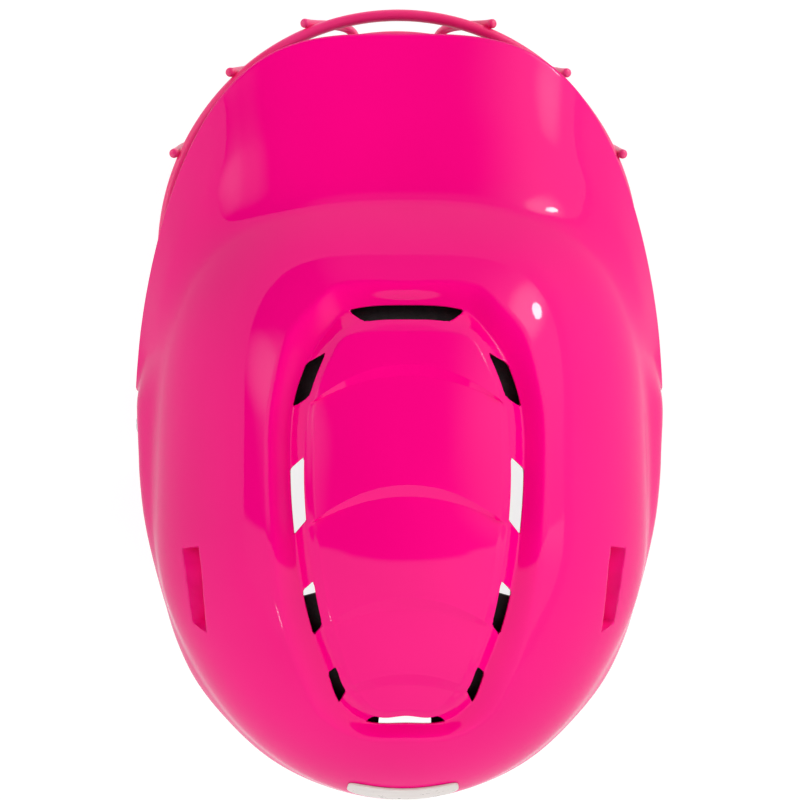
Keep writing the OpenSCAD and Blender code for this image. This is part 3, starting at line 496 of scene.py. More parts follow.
# %% Rows as levels, with the pocket's edges followed
def pocket_edges(a):
    """Shares of the dome band at which the upper and lower edges of the rear slot lie."""
    lip = along(LIP, a)
    start = np.degrees(np.arcsin(dome_share(lip[..., 0], lip[..., 1])))
    end = crease_tilt(a) - FILLET_TILT
    stops = [0, 85, 101, 107, 112, 118, 123, 127, 140, 180]
    upper = np.interp(a, stops, [30, 50, 54.3, 54.5, 55.5, 57.8, 60.8, 63, 62, 45])
    lower = np.interp(a, stops, [45, 60, 61.3, 61.2, 62.1, 64.6, 68.2, 70, 68, 62])
    tall = end - start
    t0, t1 = (upper - start) / tall, (lower - start) / tall
    calm = 1 - ease((a - 85) / 14) * (1 - ease((a - 126) / 16))
    return mix(t0, 0.42, calm), mix(t1, 0.68, calm)


def spaced(start, stop, n):
    """n evenly spaced levels up to and without the last."""
    return list(np.linspace(start, stop, n, endpoint=False))


ROWS = np.array(spaced(1, 2, 6) + spaced(2, 3, 8) + spaced(3, 4, 12) + spaced(4, 4.39, 13)
                + [4.39, 4.4, 4.41, 4.47, 4.54, 4.6, 4.625, 4.65, 4.69, 4.7]
                + spaced(4.712, 5, 7) + spaced(5, 6, 10) + spaced(6, 7, 16) + spaced(7, 7.9, 27)
                + [7.9, 7.925, 7.945, 7.96, 7.972, 7.982, 7.99, 7.996, 7.999, 8.0])
half_a = left_half(PLACES)
lean = SLOT_SLANT * ease((half_a - 108) / 12) * (1 - ease((half_a - 121) / 17))
A = PLACES + np.where(PLACES > 180, -1, 1) * lean * np.interp(ROWS, [4, 4.4, 4.7], [0, 1, 0])[:, None]
top_edge, low_edge = pocket_edges(left_half(A))


def level_grid(rows):
    """Levels of all rows and columns; in the dome band, 4.4 and 4.7 follow the slot's edges."""
    v = np.repeat(rows[:, None], len(PLACES), 1)
    u = v - 4
    between, below = mix(top_edge, low_edge, (u - 0.4) / 0.3), mix(low_edge, 1.0, (u - 0.7) / 0.3)
    bent = np.where(u < 0.4, u / 0.4 * top_edge, np.where(u < 0.7, between, below))
    return np.where((u > 0) & (u < 1), 4 + bent, v)


V = level_grid(ROWS)
print("net of", V.shape, "columns lean by up to", round(float(lean.max()), 1), "degrees")

# %% [markdown]
# The ear hole is round, but the net is square. We take a block of the net as the hole and slide
# its border onto a circle, and the net around follows less and less. Points stay on the helmet's
# surface, because we change their place and level and not their position: Newton's method
# finds the place and level at which the surface has the wanted side view position.

# %% Slide the net onto the ear hole's circle
EAR_Y, EAR_Z, EAR_R = 46.0, 62.0, 14.0
EAR_REACH, BORE_R, BORE_REACH = 2.1, 4.2, 3.0


def slide(a, v, want):
    """Newton steps on (a, v) until the surface's (y, z) is the wanted one."""
    for _ in range(6):
        here = plain_surface(a, v)[..., 1:]
        da = (plain_surface(a + 0.05, v)[..., 1:] - here) / 0.05
        dv = (plain_surface(a, v + 0.002)[..., 1:] - here) / 0.002
        miss = want - here
        det = da[..., 0] * dv[..., 1] - da[..., 1] * dv[..., 0]
        a = a + (miss[..., 0] * dv[..., 1] - miss[..., 1] * dv[..., 0]) / det
        v = np.clip(v + (miss[..., 1] * da[..., 0] - miss[..., 0] * da[..., 1]) / det, 6.5, 8)
    return a, v


def even_near(values, target):
    """Index of the value nearest to the target, among every second one."""
    return 2 * int(np.abs(values[::2] - target).argmin())


ear_centre = slide(np.array([93.0]), np.array([7.3]), np.array([[EAR_Y, EAR_Z]]))
ear_a, ear_v = float(ear_centre[0][0]), float(ear_centre[1][0])
side_step = np.linalg.norm(plain_surface(np.array([ear_a + 1]), np.array([ear_v]))
                           - plain_surface(np.array([ear_a]), np.array([ear_v])))
down_step = np.linalg.norm(plain_surface(np.array([ear_a]), np.array([ear_v + 0.05]))
                           - plain_surface(np.array([ear_a]), np.array([ear_v]))) / 0.05
grow_a, grow_v = 0.9 * EAR_R / side_step, 0.9 * EAR_R / down_step
HALF = len(PLACES) // 2
ear_cols = [even_near(PLACES[:HALF + 1], ear_a + grow) for grow in (-grow_a, grow_a)]
ear_rows = [even_near(ROWS, ear_v + grow) for grow in (-grow_v, grow_v)]
print("ear hole at place", round(ear_a, 2), "level", round(ear_v, 3), "cut from", ear_cols, ear_rows)


def slide_net(a_net, v_net, hole):
    """Moves net points from a square of radius q = 1 onto the hole's circle, less and less outwards."""
    mid_c, mid_r = np.mean(hole["cols"]), np.mean(hole["rows"])
    far_c, far_r = np.diff(hole["cols"])[0] / 2, np.diff(hole["rows"])[0] / 2
    r, c = np.meshgrid(np.arange(a_net.shape[0]), np.arange(a_net.shape[1]), indexing="ij")
    q = np.maximum(np.abs(c - mid_c) / far_c, np.abs(r - mid_r) / far_r)
    near = (q > 0.99) & (q < hole["reach"])
    a, v = a_net[near], v_net[near]
    here = plain_surface(a, v)[:, 1:] - hole["centre"]
    far = np.linalg.norm(here, axis=1)
    target = mix(hole["radius"], far, np.clip((q[near] - 1) / (hole["reach"] - 1), 0, 1))
    new_a, new_v = slide(a, v, here * (target / far)[:, None] + hole["centre"])
    a_out, v_out = a_net.copy(), v_net.copy()
    a_out[near], v_out[near] = new_a, new_v
    return a_out, v_out


def block_round(place, level, across, down):
    """Even columns and rows of a block of the net, centred near a place and level."""
    c = even_near(PLACES[:HALF + 1], place) - across // 2
    r = even_near(ROWS, level) - down // 2
    return [c + c % 2, c + c % 2 + across], [r + r % 2, r + r % 2 + down]


holes = [dict(centre=[EAR_Y, EAR_Z], radius=EAR_R, reach=EAR_REACH, cols=ear_cols, rows=ear_rows)]
for label, y, z in (("upper clip", 9.0, 54.0118), ("lower clip", 17.0385, 24.0118),
                    ("front stud", 30.822, 12.537), ("rear stud", 64.018, 13.154)):
    place, level = slide(np.array([90.0]), np.array([7.6]), np.array([[y, z]]))
    cols, rows = block_round(float(place[0]), float(level[0]), 4, 2)
    holes.append(dict(centre=[y, z], radius=BORE_R, reach=BORE_REACH, cols=cols, rows=rows))
    print(label, "at place", round(float(place[0]), 1), "level", round(float(level[0]), 3), cols, rows)
half_net = A[:, :HALF + 1], V[:, :HALF + 1]
for hole in holes:
    half_net = slide_net(*half_net, hole)
A = np.hstack([half_net[0], 360 - half_net[0][:, 1:HALF][:, ::-1]])
V = np.hstack([half_net[1], half_net[1][:, 1:HALF][:, ::-1]])

# %% [markdown]
# ## The outside, the crown panel's steps and the seats
# The middle panel carries four shallow steps, each a curved riser that falls towards the rear
# and a long slope that recovers the height. The panel gets a net of its own whose rows run
# along these arcs from the left edge to the right one, so that every step is a clean line.

# %% Heights of the panel's steps
def step_height(c, x):
    """Sawtooth along c = y - SAG (x/37)^2: falls STEP_DROP over the riser, then rises back evenly."""
    w = (x / PANEL_HALF_W) ** 2
    h = 0 * c
    for front, after in zip(STEP_FRONT, np.append(STEP_FRONT[1:], 121.0)):
        rear = front + STEP_LONG - STEP_FLAT * w
        fall = np.clip((c - front) / np.maximum(rear - front, 0.3), 0, 1)
        rise = np.clip((c - rear) / (after - rear), 0, 1)
        h = h - STEP_DROP * np.where((c >= front) & (c < after), fall - rise, 0)
    return h


def lens_share(places):
    """1 on a riser's rear line, 0 on its front line and between steps, straight in between."""
    share = 0 * places
    for front, rear in zip(step_places[:4], step_places[4:]):
        share = np.maximum(share, np.interp(places, [front, rear, rear + 5], [0, 1, 0]))
    return share


def panel_net(places, front_places, rear_places):
    """Rows between mirrored points of the panel's edge; each row sags by SAG (x / 37)^2 from its ends.

    Row j runs from (-X_j, Y_j) to (X_j, Y_j) along y = Y_j - s_j (1 - u^2), x = X_j u. The
    first rows blend into the panel's front edge and the last ones into its rear edge.
    """
    ends = along(PANEL, places)
    big_x, big_y = ends[:, :1], ends[:, 1:]
    front, rear = along(PANEL, np.abs(front_places)), along(PANEL, rear_places)
    u = np.sign(front_places) * front[:, 0] / big_x[0]
    sag = (SAG - STEP_FLAT * lens_share(places)[:, None]) * (big_x / PANEL_HALF_W) ** 2
    arch = sag * (1 - u ** 2)
    x, y = big_x * u, big_y - arch
    near = 1 - ease((places - places[0]) / (step_places[0] - places[0]))[:, None]
    far = ease((places - step_places[7]) / (places[-1] - step_places[7]))[:, None]
    x_rear = np.sign(front_places) * rear[:, 0] / big_x[-1] * big_x
    y = y + near * (front[:, 1] - big_y[0] + arch) + far * (rear[:, 1] - big_y[-1] + arch)
    return mix(x, x_rear, far), y


corner_cols = [int(np.abs(half_places - 34.9).argmin()), int(np.abs(half_places - 169.5).argmin())]
side_places = half_places[corner_cols[0]:corner_cols[1] + 1]
front_cols = corner_cols[0]
rear_cols = HALF - corner_cols[1]
print("panel corners at columns", corner_cols, "front", front_cols, "rear", rear_cols)
front_side = np.concatenate([-half_places[front_cols:0:-1], half_places[:front_cols + 1]])
rear_half = half_places[corner_cols[1]:]
panel_x, panel_y = panel_net(side_places, front_side, np.concatenate([rear_half, rear_half[-2::-1]]))
panel_points = on_dome(np.stack([panel_x, panel_y], -1), PANEL_DROP + 0 * panel_x)
panel_points[..., 2] += step_height(panel_y - SAG * (panel_x / PANEL_HALF_W) ** 2, panel_x)
print("panel net", panel_x.shape, "z", round(float(panel_points[..., 2].min()), 1), "to",
      round(float(panel_points[..., 2].max()), 1))

# %% Flat seats under the guard's clips
SEAT_TILT = math.degrees(math.atan((108 - 100.4) / 86))
LEAN, CLIP_REACH, CLIP_W = 15.0, 17.5, 12.0
CLIP_SEATS = {"upper": (105.973, 9.0, 54.0118), "lower": (103.322, 17.0385, 24.0118)}
STUD_SEATS = {"front": ((101.077, 30.822, 12.537), (0.999029, 0.0400649, -0.0183311)),
              "rear": ((99.505, 64.018, 13.154), (0.996999, 0.0617201, 0.0467316))}


def turn(axis, deg):
    """Rotation about an axis, 0 for X, 1 for Y and 2 for Z: cosine and sine in the other two rows."""
    i, j = (axis + 1) % 3, (axis + 2) % 3
    c, s = math.cos(math.radians(deg)), math.sin(math.radians(deg))
    matrix = np.eye(3)
    matrix[[i, j, i, j], [i, j, j, i]] = c, c, -s, s
    return matrix


SEAT_TURN = turn(1, SEAT_TILT) @ turn(0, LEAN)


def press_seats(points, depth):
    """Pushes points under each clip's seat plane, within a stadium from the screw to the hook."""
    out = points.copy()
    for side in (1, -1):
        for origin in CLIP_SEATS.values():
            local = (out * [side, 1, 1] - np.array(origin)) @ SEAT_TURN
            s = np.hypot(local[..., 1] - np.clip(local[..., 1], -CLIP_REACH, 0), local[..., 2])
            hold = (1 - ease((s - CLIP_W / 2 - 1.5) / 4)) * (np.abs(local[..., 0]) < 12)
            local[..., 0] -= np.maximum(0, local[..., 0] + depth) * hold
            back = local @ SEAT_TURN.T + np.array(origin)
            out = np.where((hold > 0)[..., None], back * [side, 1, 1], out)
    return out


# %% Outside and inside points
def slot_depth(places, rows):
    """Depth of the rear slots: a shelf runs in from the lower edge, a wall rises to the upper one."""
    half = left_half(places)
    s = (rows - 4.4) / 0.3
    down = np.clip(np.minimum(s / SHELF, (1 - s) / (1 - SHELF)), 0, 1)
    return SLOT_DEEP * down * np.clip(np.minimum(half - SLOT_FROM, SLOT_TO - half) / SLOT_WALL, 0, 1)


def slot_relief(a, v):
    """How far the shell's inside and the pad give way behind a slot: a smooth hump 4 mm high."""
    half = np.abs(np.mod(a + 180, 360) - 180)
    t0, t1 = pocket_edges(half)
    s = (v - 4 - t0) / (t1 - t0)
    return (4.0 * ease((half - 96) / 5) * (1 - ease((half - 122) / 5))
            * ease((s + 0.1) / 0.6) * (1 - ease((s - 0.95) / 0.6)))


def inset(a, v, depth):
    """Points one wall inside the outside: square to it, but straight down at the upright vents."""
    n = outward(a, v)
    upright = (ease((v - 1) / 0.8) * (1 - ease((v - 3.2) / 0.8)))[..., None]
    d = unit(mix(n, np.array([0, 0, 1.0]), upright))
    return rounded_surface(a, v) - d * (depth / np.maximum((d * n).sum(-1), 0.5))[..., None]


normals = outward(A, V)
outer = rounded_surface(A, V)
outer[0] = plain_surface(A[0], V[0])
outer[..., 2] += (step_height(outer[..., 1] - SAG * (outer[..., 0] / PANEL_HALF_W) ** 2, outer[..., 0])
                  * (1 - ease(V - 1)))
outer -= normals * (slot_depth(PLACES, ROWS[:, None]) + roll(edge_distance(A, V), ROLL_OUT))[..., None]
outer = press_seats(outer, 0.3)
inner_a, inner_v = A[::2, ::2], V[::2, ::2]
under_rim = roll(edge_distance(inner_a, inner_v), ROLL_IN)
inner = inset(inner_a, inner_v, WALL + slot_relief(inner_a, inner_v) - under_rim)
inner = press_seats(inner, 0.3 + WALL)
print("outside", outer.shape, "inside", inner.shape, "rows even:", len(ROWS) % 2 == 1)

# %% [markdown]
# ## One closed shell
# We number the points of the outside, the panel and the inside, leave out the blocks of faces
# at the vents and holes, and join outside and inside along every border. The inside has half
# as many points, so each joining face has three corners outside and two inside.

# %% Numbers, holes and borders
N = len(PLACES)
R = len(ROWS)
outer_id = np.arange(R * N).reshape(R, N)
panel_id = np.zeros(panel_x.shape, int)
right_cols = np.arange(corner_cols[0], corner_cols[1] + 1)
panel_id[1:-1, 1:-1] = R * N + np.arange((panel_x.shape[0] - 2) * (panel_x.shape[1] - 2)).reshape(
    panel_x.shape[0] - 2, -1)
panel_id[:, -1], panel_id[:, 0] = right_cols, N - right_cols
panel_id[0] = np.arange(-front_cols, front_cols + 1) % N
panel_id[-1] = np.arange(N - corner_cols[1], corner_cols[1] - 1, -1)
col_of = {a: int(np.abs(half_places - a).argmin()) for a in STATIONS}
vent_rows = [int(np.abs(ROWS - level).argmin()) for level in (2, 3)]
blocks = [(vent_rows, [-col_of[16.7], col_of[16.7]]), (vent_rows, [col_of[169.5], N - col_of[169.5]])]
SIDE_VENTS = [(34.9, 49.1), (72, 103.7), (129, 144.2), (154.9, 161.4)]
VENTS = len(blocks) + 2 * len(SIDE_VENTS)
on_the_left = [(vent_rows, col_of[first], col_of[last]) for first, last in SIDE_VENTS]
for rows, c0, c1 in on_the_left + [(hole["rows"], *hole["cols"]) for hole in holes]:
    blocks += [(rows, [c0, c1]), (rows, [N - c1, N - c0])]
print("vents", VENTS, "round holes", len(blocks) - VENTS)


# %% Soft corners of the vents, and the inside of the crown
def soften_corners(points, cuts, step, share):
    """Draws each cut's corner points towards the middle of their two neighbours on the border."""
    out, n = points.copy(), points.shape[1]
    for (r0, r1), (c0, c1) in cuts:
        for r, dr in ((r0 // step, 1), (r1 // step, -1)):
            for c, dc in ((c0 // step, 1), (c1 // step, -1)):
                middle = (points[r + dr, c % n] + points[r, (c + dc) % n]) / 2
                out[r, c % n] = mix(points[r, c % n], middle, share)
    return out


outer = soften_corners(outer, blocks[:VENTS], 1, 0.75)
inner = soften_corners(inner, blocks[:VENTS], 2, 0.4)
base = R * N + (panel_x.shape[0] - 2) * (panel_x.shape[1] - 2)
crown_rows = np.linspace(0, 1, 9)[1:-1]
cap_a, cap_v = np.meshgrid(PLACES[::2], crown_rows)
cap = plain_surface(cap_a, cap_v) - outward(cap_a, cap_v, plain_surface) * WALL
pole = np.array([[0, CROWN_Y, DOME_BASE + DOME_RISE - PANEL_DROP - WALL]])
inside = np.concatenate([cap, inner], 0)
inside_id = base + 1 + np.arange(inside.shape[0] * inside.shape[1]).reshape(inside.shape[:2])
shell_points = np.concatenate([outer.reshape(-1, 3), panel_points[1:-1, 1:-1].reshape(-1, 3), pole,
                               inside.reshape(-1, 3)])
shell_points[:, 2] = np.maximum(shell_points[:, 2], 0)


# %% Faces of the nets and of the joins
def net_faces(ids, cut, step):
    """Quads of a closed net, without those inside the cut blocks; step 2 for the inside's net."""
    rows, cols = ids.shape
    keep = np.ones((rows - 1, cols), bool)
    for (r0, r1), (c0, c1) in cut:
        keep[r0 // step:r1 // step, np.arange(c0 // step, c1 // step) % cols] = False
    nxt = np.roll(ids, -1, 1)
    quads = np.stack([ids[:-1], ids[1:], nxt[1:], nxt[:-1]], -1)
    return quads[keep]


def border(ids, rows, cols, step):
    """Point numbers round a block, from its first corner along its first row and back."""
    r0, r1 = rows[0] // step, rows[1] // step
    c0, c1 = cols[0] // step, cols[1] // step
    wide, tall = c1 - c0, r1 - r0
    r = np.concatenate([np.full(wide, r0), np.arange(r0, r1), np.full(wide, r1), np.arange(r1, r0, -1)])
    c = np.concatenate([np.arange(c0, c1), np.full(tall, c1), np.arange(c1, c0, -1), np.full(tall, c0)])
    return ids[r, c % ids.shape[1]]


def join(out_loop, in_loop):
    """Five-cornered faces between a border and the inside's border of half as many points."""
    a, b, c = out_loop[0::2], out_loop[1::2], np.roll(out_loop, -2)[0::2]
    return np.stack([c, b, a, in_loop, np.roll(in_loop, -1)], -1)


# %% Put the shell together
skin_id = inside_id[len(crown_rows):]
loops = [(border(outer_id, *block, 1), border(skin_id, *block, 2)) for block in blocks]
loops.append((outer_id[-1], skin_id[-1]))
panel_faces = panel_id.ravel()[grid_quads(*panel_id.shape)]
inside_faces = np.concatenate([net_faces(inside_id[:len(crown_rows) + 1], [], 1),
                               net_faces(skin_id, blocks, 2)])
ring = inside_id[0]
pole_faces = np.stack([np.full(len(ring), base), ring, np.roll(ring, -1)], -1)
shell_faces = [net_faces(outer_id, blocks, 1), panel_faces[:, ::-1], inside_faces[:, ::-1],
               pole_faces[:, ::-1], np.concatenate([join(*pair) for pair in loops])]
shell = make_piece("helmet_shell", shell_points, shell_faces)
# The faces in the slots take the second finish, whose darker pink is painted shade.
in_slot = slot_depth(PLACES, ROWS[:, None]).ravel()[shell_faces[0]].max(1) > 0
shell.data.polygons.foreach_set("material_index", np.concatenate(
    [in_slot, np.zeros(len(shell.data.polygons) - len(in_slot), bool)]).astype(np.int32))
print("faces in the slots", int(in_slot.sum()))

# %% [markdown]
# Where a hole or vent breaks the shell the mould leaves a fine round edge. We give those border
# edges a weight and let a Bevel modifier round them; the lower edge is already rolled.

# %% Bevel the borders of the vents and holes
def weigh_edges(obj, rings, weights):
    """Writes a bevel weight on the edges that follow each closed ring of points, one weight a ring."""
    me = obj.data
    pairs = np.zeros(len(me.edges) * 2, np.int32)
    me.edges.foreach_get("vertices", pairs)
    key = np.sort(pairs.reshape(-1, 2), 1) @ np.array([1, len(me.vertices)])
    value = np.zeros(len(key))
    for ring, weight in zip(rings, weights):
        steps = np.sort(np.stack([ring, np.roll(ring, -1)], -1), 1)
        value[np.isin(key, steps @ np.array([1, len(me.vertices)]))] = weight
    layer = me.attributes.new("bevel_weight_edge", "FLOAT", "EDGE")
    layer.data.foreach_set("value", value)
    return int((value > 0).sum())


def add_bevel(obj, width, segments, angle=None):
    """Bevel of a width in millimetres, on weighted edges or on edges sharper than an angle."""
    bevel = obj.modifiers.new("soft edges", "BEVEL")
    bevel.width, bevel.segments = width * MM, segments
    bevel.use_clamp_overlap = False
    bevel.limit_method = "WEIGHT" if angle is None else "ANGLE"
    if angle:
        bevel.angle_limit = math.radians(angle)
    bevel.harden_normals = False


marked = weigh_edges(shell, [ring for pair in loops[:-1] for ring in pair],
                     [1.0] * 2 * VENTS + [0.3] * 4 * len(holes))
add_bevel(shell, 0.35, 2)
sharpen(shell, 50)
tie(shell, "shell")
print("bevelled edges", marked)

# %% [markdown]
# ## The seats of clips and studs
# Under each clip and stud the real moulding thickens to a flat round boss, so the screw pulls
# against a plane. We turn a small profile round the screw's axis and lay it in the seat's frame.

# %% Turned profiles
def turned_ring(profile, turned, origin, sides=64):
    """Revolves a closed profile of (x, r) points about local X: y = r cos t, z = r sin t."""
    x, r = np.array(profile, float).T
    t = np.linspace(0, 360, sides, endpoint=False)[:, None]
    local = xyz(x[None, :] + 0 * t, r[None, :] * cos(t), r[None, :] * sin(t))
    points = local.reshape(-1, 3) @ np.asarray(turned).T + np.asarray(origin)
    n = len(x)
    i, k = np.arange(sides)[:, None], np.arange(n)[None, :]
    after_i, after_k = (i + 1) % sides, (k + 1) % n
    corners = i * n + k, i * n + after_k, after_i * n + after_k, after_i * n + k
    return points, np.stack(np.broadcast_arrays(*corners), -1).reshape(-1, 4)


def round_corner(cx, cy, r, start, stop, n=4):
    """Points of an arc in a profile, from one angle to another."""
    t = np.linspace(start, stop, n)
    return list(zip(cx + r * cos(t), cy + r * sin(t)))


def boss_profile(bore, r, thick, edge=0.8):
    """Ring with a rounded outer edge: x from -thick to 0, radius from the bore to r."""
    return [(-thick, bore), (0, bore)] + round_corner(-edge, r - edge, edge, 0, 90) + [(-thick, r)]


def stud_turn(n):
    """Rotation that lays local X along the normal n."""
    return turn(2, math.degrees(math.atan2(n[1], n[0]))) @ turn(1, -math.degrees(math.asin(n[2])))


BOSS_THICK = 5.4
boss_points, boss_faces, first = [], [], 0
seats = [(SEAT_TURN, o, 9.0, 3.4, BOSS_THICK) for o in CLIP_SEATS.values()]
seats += [(stud_turn(n), o, 6.5, 1.8, BOSS_THICK) for o, n in STUD_SEATS.values()]
for turned, origin, r, bore, thick in seats:
    points, faces = turned_ring(boss_profile(bore, r, thick), turned, origin)
    for side in (1, -1):
        boss_points.append(points * [side, 1, 1])
        boss_faces.append((faces if side > 0 else faces[:, ::-1]) + first)
        first += len(points)
bosses = make_piece("fastener_bosses", np.concatenate(boss_points), [np.concatenate(boss_faces)])
sharpen(bosses, 40)
tie(bosses)

# %% [markdown]
# ## The wire guard
# The real guard is bent from round steel wire: four long bars from side to side, a straight bar
# down each side and six uprights, all welded and coated. A wire is a circle carried along a
# path. The cut ends are domed, as a thick coating leaves them.

# %% Paths and tubes
BAR_R, UPRIGHT_R, WELD_SINK = 2.5, 2.0, 0.4
SIDE_FOOT, SIDE_DIR = np.array([105.574, -7.9037, 49.5]), np.array([0.0850295, -0.258819, 0.962176])
CURVES = {"eye": (99.9, 164.9, -63.2, 60.0), "mouth": (98.0, 158.0, -60.0, 30.0),
          "chin": (92.0, 140.0, -50.0, 2.601)}
END_Z = {"eye": 60.0, "mouth": 30.0, "chin": 9.0, "brow": 65.8}


def side_bar_at(z):
    """Point of the left side bar's centre line at height z."""
    return SIDE_FOOT + SIDE_DIR * ((z - SIDE_FOOT[2]) / SIDE_DIR[2])


def curve_point(curve, a):
    """Half ellipse in plan: x = w sin a, y = c - (reach + c) cos a, at one height."""
    w, reach, c, z = curve
    return xyz(w * sin(a), c - (reach + c) * cos(a), z + 0 * a)


def curve_normal(curve, a):
    """Unit normal of that ellipse, in plan."""
    w, reach, c, _ = curve
    return unit(xyz((reach + c) * sin(a), -w * cos(a), 0 * a))


def bar_path(kind):
    """The curve from -90 to 90 degrees, run on at both ends to the side bars."""
    curve = CURVES[kind]
    a = np.linspace(-90, 90, 121)
    p, q = curve_point(curve, np.array(90.0)), side_bar_at(END_Z[kind])
    t = np.linspace(0, 1, 17)[1:]
    tail = xyz(mix(p[0], q[0], t * t * (2 - t)), mix(p[1], q[1], t), mix(p[2], q[2], ease(t)))
    return np.concatenate([(tail * [-1, 1, 1])[::-1], curve_point(curve, a), tail])


def brow_path():
    """Arch from side bar to side bar, highest at the front under the brim."""
    a, end = np.linspace(-90, 90, 121), side_bar_at(END_Z["brow"])
    return xyz(end[0] * sin(a), end[1] - (137.0 + end[1]) * cos(a), mix(end[2], 105.0, cos(a)))


def upright_path(k):
    """Over the welds outside the eye, mouth and chin bars, with a short cut end at each end."""
    eye = np.array([22.0, 43.0, 66.0])[k]
    off = BAR_R + UPRIGHT_R - WELD_SINK
    places = {"eye": eye, "mouth": eye - [11, 7, 6][k], "chin": eye - [13, 13, 16][k]}
    e, m, c = (curve_point(CURVES[name], np.array(a)) + curve_normal(CURVES[name], np.array(a)) * off
               for name, a in places.items())
    bend, t = (c - e) / 2, np.linspace(0, 1, 25)[:, None]
    return np.concatenate([[e + unit(e - m) * 3.0], hermite(e, m, m - e, bend, t),
                           hermite(m, c, bend, c - m, t)[1:], [c + unit(c - m) * 1.0]])


# %% Tubes with domed ends
def domed_ends(path, r):
    """The path with more points at both ends, and its radii: an ellipse 0.6 r long caps each end."""
    h = 0.6 * r
    s = h * (1 - np.cos(np.radians(np.linspace(0, 90, 6))))
    radius_in = r * np.sqrt(1 - (1 - s / h) ** 2)
    first, last = unit(path[1] - path[0]), unit(path[-2] - path[-1])
    gap = np.linalg.norm(path[1] - path[0]) > h
    body = path[1:-1] if gap else path[2:-2]
    head = path[0] + first * s[:, None]
    tail = (path[-1] + last * s[:, None])[::-1]
    radii = np.concatenate([radius_in, np.full(len(body), r), radius_in[::-1]])
    return np.concatenate([head, body, tail]), radii


def tube(path, r, reference, sides=24):
    """Circles round the path: p + r (s cos t + u sin t), with s square to path and reference."""
    path, radii = domed_ends(path, r)
    d = unit(np.gradient(path, axis=0))
    s = unit(np.cross(d, reference))
    u = np.cross(s, d)
    t = np.linspace(0, 360, sides, endpoint=False)
    spokes = s[:, None] * cos(t)[None, :, None] + u[:, None] * sin(t)[None, :, None]
    rings = path[:, None] + radii[:, None, None] * spokes
    return rings.reshape(-1, 3), grid_quads(len(path), sides, closed=True)


def wire_piece(name, path, r, reference, node):
    """A wire that stands for a CAD node; the ring at each tip has radius zero and is merged."""
    points, quads = tube(path, r, np.array(reference, float))
    obj = make_piece(name, points, [quads])
    merge_doubles(obj)
    tie(obj, node)
    return obj


# %% Bend and weld the guard
guard = [wire_piece(f"guard_{kind}_bar", bar_path(kind), BAR_R, (0, 0, 1), f"{kind}_bar")
         for kind in CURVES]
guard.append(wire_piece("guard_brow_bar", brow_path(), BAR_R, (0, -0.3, 1), "brow_bar"))
for side, word in ((1, "left"), (-1, "right")):
    ends = np.array([side_bar_at(7.5), side_bar_at(37.0), side_bar_at(67.3)]) * [side, 1, 1]
    guard.append(wire_piece(f"guard_side_bar_{word}", ends, BAR_R, (0, 1, 0), f"side_bar_{word}"))
    for k, kind in enumerate(("nose", "cheek", "temple")):
        across = (side, 0, 0) if kind == "temple" else (0, 1, 0)
        guard.append(wire_piece(f"guard_{kind}_upright_{word}", upright_path(k) * [side, 1, 1],
                                UPRIGHT_R, across, f"{kind}_upright_{word}"))

# %% [markdown]
# ## The guard's clips
# A real clip is a plastic strap: flat and round-ended under its screw, then wrapped once round
# the wire. We carry a rounded oblong section along that path, and let its width follow the
# round end.

# %% Strap clips
def section(half_t, half_w, r=0.7, n=5):
    """Oblong with rounded corners, in (thickness, width); a thin section has smaller corners."""
    r = np.minimum(r, 0.45 * np.minimum(half_t, half_w))
    corners = [(1, 1, 0), (-1, 1, 90), (-1, -1, 180), (1, -1, 270)]
    out = []
    for sx, sy, start in corners:
        t = np.linspace(start, start + 90, n)[None, :]
        out.append(np.stack([(sx * (half_t - r))[:, None] + r[:, None] * cos(t),
                             (sy * (half_w - r))[:, None] + r[:, None] * sin(t)], -1))
    return np.concatenate(out, 1)


def clip_strap():
    """Points and faces of a clip in its seat's frame: along the tab, over to the wire and round it."""
    y = np.concatenate([5.98 - 1.2 * (1 - cos(np.linspace(0, 80, 7))), np.linspace(4.2, -11.5, 24)])
    tab = np.stack([np.full_like(y, 1.5), y], -1)
    ring_mid, start = 3.7, 62.0
    p, q = tab[-1], np.array([ring_mid * sin(start), -CLIP_REACH + ring_mid * cos(start)])
    t = np.linspace(0, 1, 12)[1:-1, None]
    over = hermite(p, q, np.array([0, -5.0]), np.array([cos(start), -sin(start)]) * 5.0, t)
    phi = np.linspace(start, 338, 56)
    ring = np.stack([ring_mid * sin(phi), -CLIP_REACH + ring_mid * cos(phi)], -1)
    path = np.concatenate([tab, over, ring])
    d = unit(np.gradient(path, axis=0))
    across = np.stack([-d[:, 1], d[:, 0]], -1)
    steps = np.concatenate([np.zeros(len(tab)), np.linspace(0, 1, len(over)), np.ones(len(ring))])
    half_t = mix(1.5, 1.1, steps)
    half_w = np.where(path[:, 1] > 0, np.sqrt(np.maximum(36 - path[:, 1] ** 2, 0.05)), 6.0)
    s = section(half_t, half_w)
    xy = path[:, None] + across[:, None] * s[..., :1]
    rings = np.concatenate([xy, s[..., 1:]], -1)
    n = s.shape[1]
    quads = grid_quads(len(path), n, closed=True)
    fan, last = np.arange(1, n - 1), (len(path) - 1) * n
    caps = np.concatenate([np.stack([0 * fan, fan, fan + 1], -1),
                           np.stack([last + 0 * fan, last + fan + 1, last + fan], -1)])
    return rings.reshape(-1, 3), quads, caps


# %% Four clips
strap, strap_quads, strap_caps = clip_strap()
clips = []
for level, origin in CLIP_SEATS.items():
    for side, word in ((1, "left"), (-1, "right")):
        points = (strap @ SEAT_TURN.T + np.array(origin)) * [side, 1, 1]
        clip = make_piece(f"guard_clip_{level}_{word}", points, [strap_quads, strap_caps])
        merge_doubles(clip)
        sharpen(clip, 45)
        tie(clip, f"clip_{level}_{word}")
        clips.append(clip)

